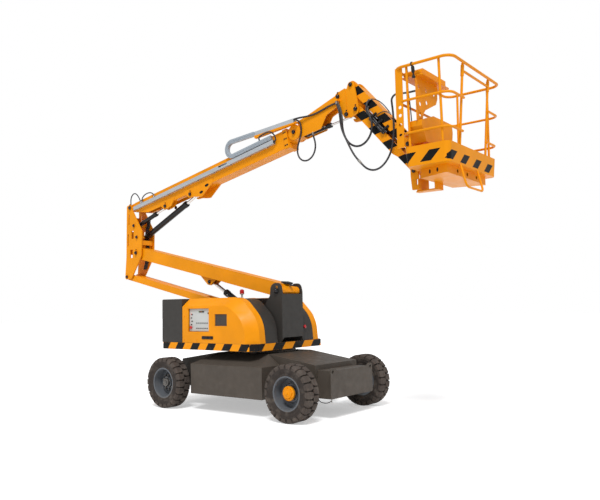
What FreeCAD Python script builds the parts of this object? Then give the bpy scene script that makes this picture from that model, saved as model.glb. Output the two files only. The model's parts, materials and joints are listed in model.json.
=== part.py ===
"""Articulating boom lift: a parametric document of separate, named pieces.

Millimetres, +Z up, +X towards the basket, +Y to the far side.
The machine frame has its origin on the ground below the middle of the wheelbase.
Every piece is moved by row_shift along X, so that the row's origin is the middle of its box.
"""
import FreeCAD, Part
import math
import os
from collections import namedtuple
from FreeCAD import Placement, Rotation, Vector

# Driving dimensions: name, value in millimetres or degrees, what it is.
SIZES = (
    ("row_shift", -128.0, "machine frame to row frame, along X"),
    ("running_gap", 0.3, "gap between faces that turn or slide on each other"),
    ("pin_gap", 0.05, "radial clearance of a pin in its bore"),
    ("side_gap", 6.0, "gap beside a moving arm"),
    ("wheel_base", 2200.0, "axle to axle"),
    ("wheel_track", 1590.0, "tyre centre to tyre centre"),
    ("tyre_radius", 344.0, "rolling radius"),
    ("tyre_width", 223.0, "over the shoulders"),
    ("rim_radius", 205.0, "tyre seat"),
    ("rim_width", 190.0, "over the flanges"),
    ("hub_radius", 82.0, "wheel hub"),
    ("axle_radius", 40.0, "stub shaft"),
    ("steer_offset", 165.0, "kingpin to tyre centre"),
    ("kingpin_radius", 22.0, "kingpin"),
    ("beam_height", 150.0, "axle beam"),
    ("beam_width", 140.0, "axle beam"),
    ("skirt_length", 1280.0, "side panels"),
    ("skirt_width", 1594.0, "over the side panels"),
    ("skirt_bottom", 227.0, "above the ground"),
    ("skirt_top", 617.0, "above the ground"),
    ("tub_width", 900.0, "between the wheels"),
    ("tub_length", 2400.0, "between the bumpers"),
    ("tub_end_top", 640.0, "deck height at the bumpers"),
    ("deck_top", 752.0, "deck height at the slew ring"),
    ("deck_length", 900.0, "flat of the deck"),
    ("bumper_reach", 1420.0, "front face of a bumper from the middle"),
    ("bumper_top", 580.0, "bumper"),
    ("bumper_bottom", 250.0, "bumper"),
    ("bumper_top_width", 770.0, "bumper"),
    ("bumper_bottom_width", 920.0, "bumper"),
    ("lug_radius", 45.0, "tie-down lug"),
    ("lug_bore", 21.0, "tie-down lug, bore radius"),
    ("lug_plate", 16.0, "tie-down lug thickness"),
    ("lug_out", 30.0, "lug's bore beyond the bumper's top corner"),
    ("lug_drop", 12.0, "lug's bore below the bumper's top"),
    ("slew_radius", 420.0, "slew ring"),
    ("table_bottom", 798.0, "turntable band"),
    ("table_top", 891.0, "turntable band"),
    ("table_rear", -1290.0, "turntable, rear edge"),
    ("table_front", 470.0, "turntable, front edge"),
    ("table_width", 1492.0, "turntable"),
    ("table_corner", 90.0, "corner cut of the turntable"),
    ("weight_front", -870.0, "counterweight, front face"),
    ("weight_top", 1490.0, "counterweight and hoods"),
    ("channel_floor", 60.0, "floor of the arms' channel, above the turntable"),
    ("channel_width", 500.0, "free middle of the turntable"),
    ("hood_inner", 500.0, "hood, from the middle plane to its inner edge"),
    ("hood_front", 455.0, "hood, front edge at its foot"),
    ("hood_wall", 4.0, "hood sheet"),
    ("hinge_radius", 5.5, "hood hinge barrels"),
    ("inside_length", 850.0, "battery packs and tank"),
    ("inside_height", 380.0, "battery packs and tank"),
    ("cowl_inner", 262.0, "cowl, inner side"),
    ("tower_width", 440.0, "tower, over its plates"),
    ("tower_plate", 20.0, "tower plates"),
    ("tower_front", 500.0, "tower, front face"),
    ("tower_pin_x", 410.0, "lower boom pivot"),
    ("tower_pin_z", 1567.0, "lower boom pivot"),
    ("tower_ear", 105.0, "tower ear radius"),
    ("link_pin_x", 175.0, "lower end of the parallel link"),
    ("link_pin_z", 1183.0, "lower end of the parallel link"),
    ("riser_pin_x", 250.0, "foot of the riser cylinder"),
    ("riser_pin_z", 975.0, "foot of the riser cylinder"),
    ("riser_length", 3178.0, "lower boom, pin to pin"),
    ("riser_angle", 13.0, "lower boom above level"),
    ("riser_depth", 185.0, "lower boom tube"),
    ("riser_width", 200.0, "lower boom tube"),
    ("tube_wall", 8.0, "boom tubes"),
    ("riser_eye_along", 1436.0, "cylinder bracket, along the lower boom"),
    ("riser_eye_drop", 150.0, "cylinder bracket, below the lower boom's line"),
    ("link_depth", 100.0, "parallel link"),
    ("link_bar", 40.0, "parallel link, each bar"),
    ("link_gap", 130.0, "parallel link, between its bars"),
    ("knuckle_inner", 230.0, "between the knuckle plates"),
    ("knuckle_plate", 20.0, "knuckle plates"),
    ("boom_angle", 10.9, "upper boom above level"),
    ("boom_length", 3450.0, "outer section, from its pivot"),
    ("boom_depth", 250.0, "outer section"),
    ("boom_width", 190.0, "outer section"),
    ("boom_line", -64.0, "outer section's middle, across the pivot line"),
    ("fly_line", -40.0, "inner section's middle, across the pivot line"),
    ("fly_depth", 160.0, "inner section"),
    ("fly_width", 146.0, "inner section"),
    ("fly_start", 420.0, "inner section's rear end, along"),
    ("nose_along", 3640.0, "where the nose plates start, along"),
    ("nose_plate", 12.0, "nose plates"),
    ("bar_end", 3656.0, "front end of the bar that carries the inner section's tray"),
    ("level_eye_along", 830.0, "levelling rod's eye, along the outer section"),
    ("level_eye_drop", 222.0, "levelling rod's eye, below the pivot line"),
    ("lift_eye_along", 1430.0, "lift rod's eye, along the outer section"),
    ("lift_eye_drop", 215.0, "lift rod's eye, below the pivot line"),
    ("tray_low", -69.0, "cable tray's foot, across the pivot line"),
    ("tray_depth", 60.0, "cable tray"),
    ("tray_width", 46.0, "cable tray"),
    ("tray_length", 3140.0, "cable tray"),
    ("chain_bend", 140.0, "outer radius of the drag chain's bend"),
    ("chain_thick", 62.0, "drag chain"),
    ("chain_width", 44.0, "drag chain"),
    ("chain_along", 2450.0, "middle of the drag chain's bend, along the outer section"),
    ("chain_across", 146.0, "middle of the drag chain's bend, above the pivot line"),
    ("chain_low_run", 740.0, "drag chain's lower run"),
    ("chain_slope", 6.6, "fall of the drag chain's upper run and its tray, in degrees"),
    ("chain_pitch", 52.0, "drag chain's links"),
    ("chain_top_run", 452.0, "drag chain's upper run"),
    ("fly_tray_length", 715.0, "tray that carries the drag chain's moving end"),
    ("fly_tray_depth", 55.0, "tray that carries the drag chain's moving end"),
    ("pin_radius", 25.0, "boom pins"),
    ("fork_gap", 100.0, "between the plates that hold a rod's eye"),
    ("small_pin", 18.0, "jib and cylinder pins"),
    ("jib_length", 1188.0, "jib arms, pin to pin"),
    ("jib_angle", 49.0, "jib arms below level"),
    ("jib_depth", 112.0, "jib arms"),
    ("jib_bar", 40.0, "jib arms, each bar"),
    ("jib_gap", 118.0, "between the bars of a jib arm"),
    ("head_inner", 212.0, "between the head plates"),
    ("head_plate", 20.0, "head plates"),
    ("turn_reach", 11.5, "turning axis, ahead of the lower arm's outer pin"),
    ("turn_radius", 42.0, "housing of the turning gear"),
    ("turn_top", 182.0, "housing's upper face, below the lower arm's outer pin"),
    ("turn_depth", 43.0, "housing of the turning gear"),
    ("neck_plate", 14.0, "plate that hangs the basket's frame on the turning gear"),
    ("basket_setback", 65.0, "top rail's rear run, ahead of the turning axis"),
    ("basket_depth", 683.0, "top rail, rear to front"),
    ("basket_width", 1334.0, "top rail"),
    ("basket_drop", 65.5, "underside of the floor, below the lower arm's outer pin"),
    ("frame_depth", 95.0, "frame under the floor"),
    ("toe_height", 215.0, "top of the toe board, above the floor's underside"),
    ("rail_height", 1105.0, "top rail's middle, above the floor's underside"),
    ("gate_near", -330.0, "entry post on the near side"),
    ("gate_far", 360.0, "entry post on the far side"),
    ("gate_sleeve", 120.0, "sleeve of the sliding bar"),
    ("basket_flare", 95.0, "toe board foot, inside the top rail"),
    ("rail_radius", 16.0, "rails"),
    ("post_radius", 14.0, "posts"),
    ("toe_sheet", 4.0, "toe board sheet"),
    ("step_drop", 245.0, "foot rung, below the floor"),
    ("hose_radius", 13.0, "large hoses"),
    ("thin_hose_radius", 9.0, "small hoses"),
)

PARTS_FOLDER = "parts"

document = FreeCAD.newDocument("BoomLift")
sheet = document.addObject("Spreadsheet::Sheet", "Sizes")
for row, (alias, amount, meaning) in enumerate(SIZES, start=1):
    sheet.set("A%d" % row, "%s" % amount)
    sheet.setAlias("A%d" % row, alias)
    sheet.set("B%d" % row, meaning)
document.recompute()

pieces = []


def size(alias):
    """A driving dimension, read from the sheet."""
    return float(sheet.get(alias))


def bind(feature, prop, expression):
    """Tie a property to sheet cells; each cell is written as its alias in braces."""
    feature.setExpression(prop, expression.replace("{", "Sizes.").replace("}", ""))


def polar(origin, length, angle):
    """A point of the XZ plane at a length and an angle above level."""
    turn = math.radians(angle)
    return (origin[0] + length * math.cos(turn), origin[1] + length * math.sin(turn))


def rounded(corners):
    """Closed chain of lines and tangent arcs; each corner is x, y and its radius."""
    points = [Vector(corner[0], corner[1], 0) for corner in corners]
    radii = [corner[2] if len(corner) > 2 else 0.0 for corner in corners]
    starts, ends, middles = [], [], []
    for i, point in enumerate(points):
        before = (points[i - 1] - point).normalize()
        after = (points[(i + 1) % len(points)] - point).normalize()
        if radii[i] <= 0:
            starts.append(point)
            ends.append(point)
            middles.append(None)
            continue
        half = before.getAngle(after) / 2
        reach = radii[i] / math.tan(half)
        inward = (before + after).normalize()
        centre = point + inward * (radii[i] / math.sin(half))
        starts.append(point + before * reach)
        ends.append(point + after * reach)
        middles.append(centre - inward * radii[i])
    curves = []
    for i in range(len(points)):
        if middles[i] is not None:
            curves.append(Part.Arc(starts[i], middles[i], ends[i]))
        following = starts[(i + 1) % len(points)]
        if (following - ends[i]).Length > 1e-6:
            curves.append(Part.LineSegment(ends[i], following))
    return curves


def new_body(label, origin=(0, 0), angle=0.0, side=0.0):
    """A body whose own X axis leaves the origin (x, z) at an angle above level."""
    body = document.addObject("PartDesign::Body", label)
    body.Label = label
    place(body, origin, angle, side)
    pieces.append(body)
    return body


def place(piece, origin=(0, 0), angle=0.0, side=0.0):
    """Put a piece in the row frame."""
    base = Vector(origin[0] + size("row_shift"), side, origin[1])
    piece.Placement = Placement(base, Rotation(Vector(0, 1, 0), -angle))


def sketch_on(body, role, offset=0.0):
    """An empty sketch on one of the body's own origin planes."""
    plane = [item for item in body.Origin.OriginFeatures if item.Role == role][0]
    sketch = body.newObject("Sketcher::SketchObject", "Sketch")
    sketch.AttachmentSupport = [(plane, "")]
    sketch.MapMode = "FlatFace"
    sketch.AttachmentOffset = Placement(Vector(0, 0, offset), Rotation())
    return sketch


def draw(sketch, outline=(), holes=()):
    """Add an outline of rounded corners and round holes given as x, y, radius."""
    if outline:
        for curve in rounded(outline):
            sketch.addGeometry(curve, False)
    for x, y, radius in holes:
        sketch.addGeometry(Part.Circle(Vector(x, y, 0), Vector(0, 0, 1), radius), False)


def pad(body, sketch, length, side="Symmetric", back=False):
    """Pad a sketch; the length is a number or an expression of sheet cells."""
    feature = body.newObject("PartDesign::Pad", "Pad")
    feature.Profile = sketch
    feature.SideType = side
    feature.Reversed = back
    set_length(feature, length)
    return feature


def pocket(body, sketch, length, side="Symmetric", back=False):
    """Cut a sketch out of the body."""
    feature = body.newObject("PartDesign::Pocket", "Pocket")
    feature.Profile = sketch
    feature.SideType = side
    feature.Reversed = back
    set_length(feature, length)
    return feature


def set_length(feature, length):
    """A number, or an expression of sheet cells."""
    if isinstance(length, str):
        bind(feature, "Length", length)
    else:
        feature.Length = length


def plate_xz(body, outline, width, middle=0.0, holes=()):
    """A plate in the XZ plane, width thick about y = middle."""
    sketch = sketch_on(body, "XZ_Plane", -middle)
    draw(sketch, outline, holes)
    return pad(body, sketch, width)


def cut_xz(body, outline, width, middle=0.0, holes=()):
    """Cut an XZ outline, width wide about y = middle."""
    sketch = sketch_on(body, "XZ_Plane", -middle)
    draw(sketch, outline, holes)
    return pocket(body, sketch, width)


def rod_y(body, x, z, radius, width, middle=0.0):
    """A round bar along Y."""
    return plate_xz(body, (), width, middle, ((x, z, radius),))


def bore_y(body, x, z, radius, width, middle=0.0):
    """A round hole along Y."""
    return cut_xz(body, (), width, middle, ((x, z, radius),))


def slab_yz(body, outline, x_start, length, holes=()):
    """A YZ outline pushed along +X from x_start."""
    sketch = sketch_on(body, "YZ_Plane", x_start)
    draw(sketch, outline, holes)
    return pad(body, sketch, length, "One side")


def slot_yz(body, outline, x_start, length, holes=()):
    """Cut a YZ outline along +X from x_start."""
    sketch = sketch_on(body, "YZ_Plane", x_start)
    draw(sketch, outline, holes)
    return pocket(body, sketch, length, "One side", True)


def slab_xy(body, outline, z_start, height, holes=()):
    """An XY outline pushed up from z_start."""
    sketch = sketch_on(body, "XY_Plane", z_start)
    draw(sketch, outline, holes)
    return pad(body, sketch, height, "One side")


def slot_xy(body, outline, z_start, height, holes=()):
    """Cut an XY outline upwards from z_start."""
    sketch = sketch_on(body, "XY_Plane", z_start)
    draw(sketch, outline, holes)
    return pocket(body, sketch, height, "One side", True)


def box(low_a, low_b, high_a, high_b, radius=0.0):
    """Corners of a rectangle."""
    return ((low_a, low_b, radius), (high_a, low_b, radius),
            (high_a, high_b, radius), (low_a, high_b, radius))


def turned(body, profile, axis_role="Y_Axis"):
    """Revolve an XY-plane profile of across, along pairs about the body's Y axis."""
    sketch = sketch_on(body, "XY_Plane")
    draw(sketch, profile)
    feature = body.newObject("PartDesign::Revolution", "Revolution")
    feature.Profile = sketch
    axis = [item for item in body.Origin.OriginFeatures if item.Role == axis_role][0]
    feature.ReferenceAxis = (axis, [""])
    feature.Angle = 360
    return feature


# Wheels: corner name, which axle, which side. Drive wheels are at the basket end.
WHEELS = (
    ("drive_near", 1, -1),
    ("drive_far", 1, 1),
    ("steer_near", -1, -1),
    ("steer_far", -1, 1),
)


def wheel_centre(axle):
    """Axle line in the XZ plane."""
    return (axle * size("wheel_base") / 2, size("tyre_radius"))


def make_tyre(name, axle, side):
    """Solid tyre: tread with rounded shoulders, bead seated on the rim."""
    body = new_body("tyre_" + name, wheel_centre(axle), 0.0, side * size("wheel_track") / 2)
    outer = size("tyre_radius")
    seat = size("rim_radius")
    half = size("tyre_width") / 2
    bead = size("rim_width") / 2
    turned(body, (
        (seat, -bead), (seat + 26, -bead - 4), (seat + 70, -half, 20), (outer - 22, -half + 4, 14),
        (outer, -half + 30, 10), (outer, half - 30, 10), (outer - 22, half - 4, 14),
        (seat + 70, half, 20), (seat + 26, bead + 4), (seat, bead)))


def make_rim(name, axle, side):
    """Dished disc wheel with its hub bore and a ring of studs."""
    body = new_body("rim_" + name, wheel_centre(axle), 0.0, side * size("wheel_track") / 2)
    seat = size("rim_radius")
    bead = size("rim_width") / 2
    bore = size("axle_radius") + size("pin_gap")
    hub = size("hub_radius")
    out = side
    turned(body, tuple((across, out * along) for across, along in (
        (bore, -60), (hub + 20, -60), (hub + 34, -44), (seat - 26, -44), (seat - 26, -bead),
        (seat, -bead), (seat, bead), (seat - 14, bead), (seat - 20, bead - 26), (seat - 34, -26),
        (hub + 40, -22), (hub + 22, -8), (hub - 4, -8), (hub - 4, 20), (bore, 20))))


def make_hub_cover(name, axle, side):
    """Bolted planetary cover on a drive wheel."""
    body = new_body("hub_cover_" + name, wheel_centre(axle), 0.0, side * size("wheel_track") / 2)
    hub = size("hub_radius")
    gap = size("running_gap")
    start = 20 + gap
    turned(body, tuple((across, side * along) for across, along in (
        (0, start + 12), (size("axle_radius") + 4, start + 12), (size("axle_radius") + 4, start),
        (hub - 6, start), (hub + 4, start + 8), (hub + 4, start + 34), (hub - 8, start + 40),
        (hub - 22, start + 40), (hub - 28, start + 54), (0, start + 54))))


def make_axle_beams():
    """Drive beam with hub motors and stub shafts, and steering beam with its kingpin forks."""
    body = new_body("axle_beams", (0, size("tyre_radius")))
    reach = size("wheel_track") / 2
    half = size("beam_width") / 2
    high = size("beam_height") / 2
    front = size("wheel_base") / 2
    inner = reach - 60 - size("running_gap")
    plate_xz(body, box(front - half, -high, front + half, high), 2 * (inner - 90))
    drum = inner - size("tub_width") / 2 - size("side_gap")
    for side in (-1, 1):
        rod_y(body, front, 0, size("hub_radius"), drum, side * (inner - drum / 2))
    rod_y(body, front, 0, size("axle_radius"), 2 * (reach + 20))
    pin_y = reach - size("steer_offset")
    plate_xz(body, box(-front - half, -high, -front + half, high), 2 * (pin_y - 55))
    for side in (-1, 1):
        low_y, high_y = sorted((side * (pin_y - 80), side * (pin_y + 40)))
        for start in (-high, high - 20):
            slab_xy(body, box(-front - 42, low_y, -front + 42, high_y, 20), start, 20)
        slot_xy(body, (), -high - 1, 2 * high + 2,
                ((-front, side * pin_y, size("kingpin_radius") + size("pin_gap")),))


def make_steer_knuckle(name, side):
    """Kingpin block with the stub shaft of a steered wheel."""
    pin_y = size("wheel_track") / 2 - size("steer_offset")
    body = new_body("knuckle_" + name, wheel_centre(-1), 0.0, side * pin_y)
    high = size("beam_height") / 2
    gap = size("running_gap")
    slab_xy(body, box(-40, -38, 40, 38, 16), -high + 20 + gap, 2 * (high - 20 - gap))
    slab_xy(body, (), -high, 2 * high, ((0, 0, size("kingpin_radius")),))
    reach = size("steer_offset") - 60 - gap
    stub = size("steer_offset")
    rod_y(body, 0, 0, size("axle_radius") + 12, reach - 30, side * (30 + (reach - 30) / 2))
    rod_y(body, 0, 0, size("axle_radius"), stub, side * (20 + stub / 2))


def make_chassis():
    """Tub between the wheels, side panels, hipped deck and the slew ring's outer race."""
    body = new_body("chassis_frame")
    end = size("tub_length") / 2
    skirt = size("skirt_length") / 2
    low = size("skirt_bottom")
    flat = size("deck_length") / 2
    plate_xz(body, ((-end, low + 60), (-skirt, low), (skirt, low), (end, low + 60),
                    (end, size("tub_end_top")), (flat, size("deck_top")),
                    (-flat, size("deck_top")), (-end, size("tub_end_top"))), "{tub_width}")
    wide = size("skirt_width") / 2
    slab_yz(body, ((-wide, low), (wide, low), (wide, size("skirt_top")),
                   (-wide, size("skirt_top"))), -skirt, "{skirt_length}")
    base = sketch_on(body, "XY_Plane", size("skirt_top"))
    draw(base, box(-skirt, -wide, skirt, wide))
    top = sketch_on(body, "XY_Plane", size("deck_top"))
    draw(top, box(-flat, -flat, flat, flat))
    roof = body.newObject("PartDesign::AdditiveLoft", "Roof")
    roof.Profile = base
    roof.Sections = [top]
    roof.Ruled = True
    half = size("beam_width") / 2
    axle_z = size("tyre_radius")
    for axle in (-1, 1):
        at = axle * size("wheel_base") / 2
        cut_xz(body, box(at - half, low - 10, at + half, axle_z + size("beam_height") / 2),
               size("tub_width") + 20)
    race = size("table_bottom") - 20 - size("running_gap")
    slab_xy(body, (), size("deck_top") - 10, race - size("deck_top") + 10,
            ((0, 0, size("slew_radius")),))


def make_bumpers():
    """Box bumpers whose face plates carry two tie-down lugs each."""
    body = new_body("bumpers")
    face = size("bumper_reach")
    back = size("tub_length") / 2
    low, top = size("bumper_bottom"), size("bumper_top")
    foot, head = size("bumper_bottom_width") / 2, size("bumper_top_width") / 2
    lug_y, lug_z = lug_place()
    edge = size("lug_radius")
    soft = edge - 8
    outline = ((-foot, low, 12), (foot, low, 12), (lug_y + edge, lug_z - 20, soft),
               (lug_y + edge - 4, lug_z + edge, soft), (lug_y - edge, lug_z + edge, 20),
               (lug_y - edge - 40, top, 10), (-lug_y + edge + 40, top, 10),
               (-lug_y + edge, lug_z + edge, 20), (-lug_y - edge + 4, lug_z + edge, soft),
               (-lug_y - edge, lug_z - 20, soft))
    holes = ((-lug_y, lug_z, size("lug_bore")), (lug_y, lug_z, size("lug_bore")))
    for start, plate_start in ((back, face), (-face, -face - size("lug_plate"))):
        slab_yz(body, ((-foot, low, 12), (foot, low, 12), (head, top, 12), (-head, top, 12)),
                start, face - back)
        slab_yz(body, outline, plate_start, "{lug_plate}", holes)




def lug_place():
    """Side and height of a tie-down lug's bore."""
    return (size("bumper_top_width") / 2 + size("lug_out"), size("bumper_top") - size("lug_drop"))


def make_turntable():
    """Slab with the hazard band, its slewing boss and the ears for link and cylinder."""
    body = new_body("turntable_frame")
    rear, front = size("table_rear"), size("table_front")
    half, cut = size("table_width") / 2, size("table_corner")
    slab_xy(body, ((rear, -half, 30), (front - cut, -half, 30), (front, -half + cut, 30),
                   (front, half - cut, 30), (front - cut, half, 30), (rear, half, 30)),
            size("table_bottom"), "{table_top} - {table_bottom}")
    slab_xy(body, (), size("table_bottom") - 20, 20, ((0, 0, size("slew_radius") - 30),))
    top = size("table_top")
    link = (size("link_pin_x"), size("link_pin_z"))
    foot = (size("riser_pin_x"), size("riser_pin_z"))
    inner = size("link_gap") / 2 + size("link_bar") + size("side_gap")
    for side in (-1, 1):
        plate_xz(body, ((link[0] - 130, top), (link[0] + 90, top), (link[0] + 55, link[1] + 50, 45),
                        (link[0] - 55, link[1] + 50, 45)), 20, side * (inner + 10))
        plate_xz(body, ((foot[0] - 60, top - 10), (foot[0] + 60, top - 10),
                        (foot[0] + 42, foot[1] + 42, 36), (foot[0] - 42, foot[1] + 42, 36)),
                 16, side * (50 + 8))
    pin_heads(body, link[0], link[1], size("small_pin"), size("link_gap") / 2, inner + 20)
    rod_y(body, foot[0], foot[1], size("small_pin"), 2 * 74)


def make_tower():
    """Two plates with round ears, a front plate and the boom pin."""
    body = new_body("tower")
    pin = (size("tower_pin_x"), size("tower_pin_z"))
    ear = size("tower_ear")
    front = size("tower_front")
    half = size("tower_width") / 2
    plate = size("tower_plate")
    base = size("table_top")
    floor = size("table_front")
    outline = ((75, base), (floor, base), (front, base + 40), (front, pin[1] - 10, 60),
               (pin[0] + ear * 0.6, pin[1] + ear, 70), (pin[0] - ear, pin[1] + ear, 90),
               (pin[0] - ear - 15, pin[1] - 60, 60), (220, 1420, 60), (150, 1180, 200))
    for side in (-1, 1):
        plate_xz(body, outline, "{tower_plate}", side * (half - plate / 2))
    slab_yz(body, box(-half, base + 60, half, pin[1] - 40), front - plate, "{tower_plate}")
    rod_y(body, pin[0], pin[1], size("pin_radius"), 2 * half + 24)


def make_counterweight():
    """Cast rear weight with a channel for the arms."""
    body = new_body("counterweight")
    half = size("table_width") / 2
    way = size("channel_width") / 2
    base = size("table_top")
    floor = base + size("channel_floor")
    slab_yz(body, ((-half, base, 8), (half, base, 8), (half, size("weight_top"), 20),
                   (way, size("weight_top"), 20), (way, floor, 40), (-way, floor, 40),
                   (-way, size("weight_top"), 20), (-half, size("weight_top"), 20)),
            size("table_rear") + 2, size("weight_front") - size("table_rear") - 2)


def hood_profile(inset, top_drop, front_drop):
    """Side view of a hood: level top, then a long arc down to its foot."""
    rear = size("weight_front") + size("side_gap") + inset
    top = size("weight_top") - top_drop
    front = size("hood_front") - front_drop
    base = size("table_top") + size("running_gap")
    return ((rear, base), (front, base), (front - 30, base + 300, 420), (front - 330, top, 300),
            (rear, top, 10))


def make_hood(name, side):
    """Hinged hood: a bevelled shell, open below and towards the middle."""
    body = new_body("hood_" + name)
    outer = size("table_width") / 2 - 2
    inner = size("hood_inner") + size("side_gap")
    wall = size("hood_wall")
    bevel = 130.0
    full = hood_profile(0, 0, 0)
    small = hood_profile(0, 105, 130)
    straight = outer - inner - bevel
    middle = side * (inner + straight / 2)
    plate_xz(body, full, straight, middle)
    start = sketch_on(body, "XZ_Plane", -side * (inner + straight))
    draw(start, full)
    finish = sketch_on(body, "XZ_Plane", -side * outer)
    draw(finish, small)
    shell = body.newObject("PartDesign::AdditiveLoft", "Bevel")
    shell.Profile = start
    shell.Sections = [finish]
    shell.Ruled = True
    hollow_full = tuple((x, z - wall, r - wall if r else 0) if z > size("table_top") + 50 else
                        (x - wall if x > 0 else x, z - 40) for x, z, r in
                        [(c[0], c[1], c[2] if len(c) > 2 else 0) for c in full])
    hollow_small = tuple((x, z - wall, r - wall if r else 0) if z > size("table_top") + 50 else
                         (x - wall if x > 0 else x, z - 40) for x, z, r in
                         [(c[0], c[1], c[2] if len(c) > 2 else 0) for c in small])
    hollow_full = shrink_rear(hollow_full, wall)
    hollow_small = shrink_rear(hollow_small, wall)
    cut_xz(body, hollow_full, straight + 1, side * (inner + straight / 2 - 0.5))
    start = sketch_on(body, "XZ_Plane", -side * (inner + straight))
    draw(start, hollow_full)
    finish = sketch_on(body, "XZ_Plane", -side * (outer - wall))
    draw(finish, hollow_small)
    cavity = body.newObject("PartDesign::SubtractiveLoft", "Cavity")
    cavity.Profile = start
    cavity.Sections = [finish]
    cavity.Ruled = True
    for start_x in (-780.0, -210.0):
        slab_yz(body, (), start_x, 140, ((side * inner, size("weight_top"), size("hinge_radius")),))


def shrink_rear(outline, wall):
    """Move the rear and front edges of a hood outline in by its wall."""
    rear = min(corner[0] for corner in outline)
    moved = []
    for corner in outline:
        x = corner[0] + wall if corner[0] == rear else corner[0] - wall
        moved.append((x,) + tuple(corner[1:]))
    return tuple(moved)


def make_cowls():
    """Fixed dark arches between the hoods and the arms' channel."""
    body = new_body("cowls")
    outer = size("hood_inner")
    inner = size("cowl_inner")
    wall = 20.0
    full = hood_profile(0, 12, 0)
    base = size("table_top")
    full = tuple((c[0], base if c[1] < base + 50 else c[1]) + tuple(c[2:]) for c in full)
    hollow = tuple((c[0] - wall if c[0] > -400 else c[0] + wall, c[1] if c[1] < base + 50 else c[1] - wall)
                   + tuple(max(r - wall, 1) for r in c[2:]) for c in full)
    hollow = tuple((c[0], c[1] - 10 if c[1] < base + 50 else c[1]) + tuple(c[2:]) for c in hollow)
    for side in (-1, 1):
        plate_xz(body, full, outer - inner, side * (inner + outer) / 2)
        cut_xz(body, hollow, outer - inner - wall, side * ((inner + outer) / 2 + wall / 2))


def make_inside_blocks():
    """Battery packs below the near hood and the tank below the far hood."""
    body = new_body("inside_blocks")
    inner = size("hood_inner") + 20
    rear = size("weight_front") + 70
    for side in (-1, 1):
        low_y, high_y = sorted((side * inner, side * (inner + 150)))
        slab_xy(body, box(rear, low_y, rear + size("inside_length"), high_y, 15),
                size("table_top"), "{inside_height}")


def make_control_panel():
    """Ground control box, seen through the near hood's window."""
    body = new_body("ground_panel")
    outer = size("table_width") / 2
    slab_xy(body, box(-745, -outer + 30, -345, -outer + 44), 1045, 305)
    slab_xy(body, box(-725, -outer + 44, -365, -outer + 60), size("table_top"), 440)


def make_beacon():
    """Warning lamp on its stem on the near cowl."""
    body = new_body("beacon", (-25, 0), 0.0, -430)
    base = size("weight_top") - 12
    slab_xy(body, (), base, 60, ((0, 0, 14),))
    slab_xy(body, (), base + 60, 62, ((0, 0, 32),))


def riser_far_pin():
    """Lower boom's pin in the knuckle."""
    tower = (size("tower_pin_x"), size("tower_pin_z"))
    return polar(tower, size("riser_length"), 180 - size("riser_angle"))


def make_lower_boom():
    """Box section with a boss at each pin and the lift cylinder's bracket below."""
    tower = (size("tower_pin_x"), size("tower_pin_z"))
    body = new_body("lower_boom", tower, -size("riser_angle"))
    length = size("riser_length")
    half = size("riser_depth") / 2
    wide = size("riser_width")
    wall = size("tube_wall")
    plate_xz(body, ((-length - 80, -half + 40, 40), (-length + 60, -half), (-30, -half),
                    (30, -58, 40), (64, 0, 30), (30, 58, 40), (-30, half),
                    (-length - 80, half, 70)), "{riser_width}")
    cut_xz(body, box(-length + 110, -half + wall, -110, half - wall), wide - 2 * wall)
    along = -size("riser_eye_along")
    drop = -size("riser_eye_drop")
    cut_xz(body, box(along - 190, -half - 5, along + 420, -half + wall + 20), size("fork_gap"))
    for side in (-1, 1):
        plate_xz(body, ((along - 230, -half + 2), (along + 120, -half + 2), (along + 55, drop - 10, 20),
                        (along + 40, drop - 48, 30), (along - 40, drop - 48, 30)),
                 20, side * (50 + 10))
    pin_heads(body, along, drop, size("small_pin") + 6, 70, 80)
    bore_y(body, 0, 0, size("pin_radius") + size("pin_gap"), 500)
    bore_y(body, -length, 0, size("pin_radius") + size("pin_gap"), 500)
    for side in (-1, 1):
        sketch = sketch_on(body, "XZ_Plane", -side * (wide / 2 + 44))
        draw(sketch, (), ((0, 0, 62), (0, 0, size("pin_radius") + size("pin_gap"))))
        pad(body, sketch, 88)
    return body


def make_link():
    """Two bars that keep the knuckle upright, tied together near the knuckle."""
    foot = (size("link_pin_x"), size("link_pin_z"))
    body = new_body("parallel_link", foot, -size("riser_angle"))
    length = size("riser_length")
    half = size("link_depth") / 2
    bar = size("link_bar")
    way = size("link_gap") / 2
    for side in (-1, 1):
        plate_xz(body, box(-length - half, -half, half, half, half - 2), "{link_bar}",
                 side * (way + bar / 2))
    plate_xz(body, box(-length + 120, half - 8, -1350, half), 2 * way + 10)
    for at in (0, -length):
        bore_y(body, at, 0, size("small_pin") + size("pin_gap"), 400)


def knuckle_points():
    """Pins of the knuckle in the machine frame, by name."""
    lower = riser_far_pin()
    link = polar((size("link_pin_x"), size("link_pin_z")), size("riser_length"),
                 180 - size("riser_angle"))
    return {
        "boom": lower,
        "link": link,
        "upper": (lower[0] - 166, lower[1] + 765),
        "level": (lower[0] - 60, lower[1] + 456),
        "lift": (lower[0] + 18, lower[1] + 259),
    }


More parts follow.
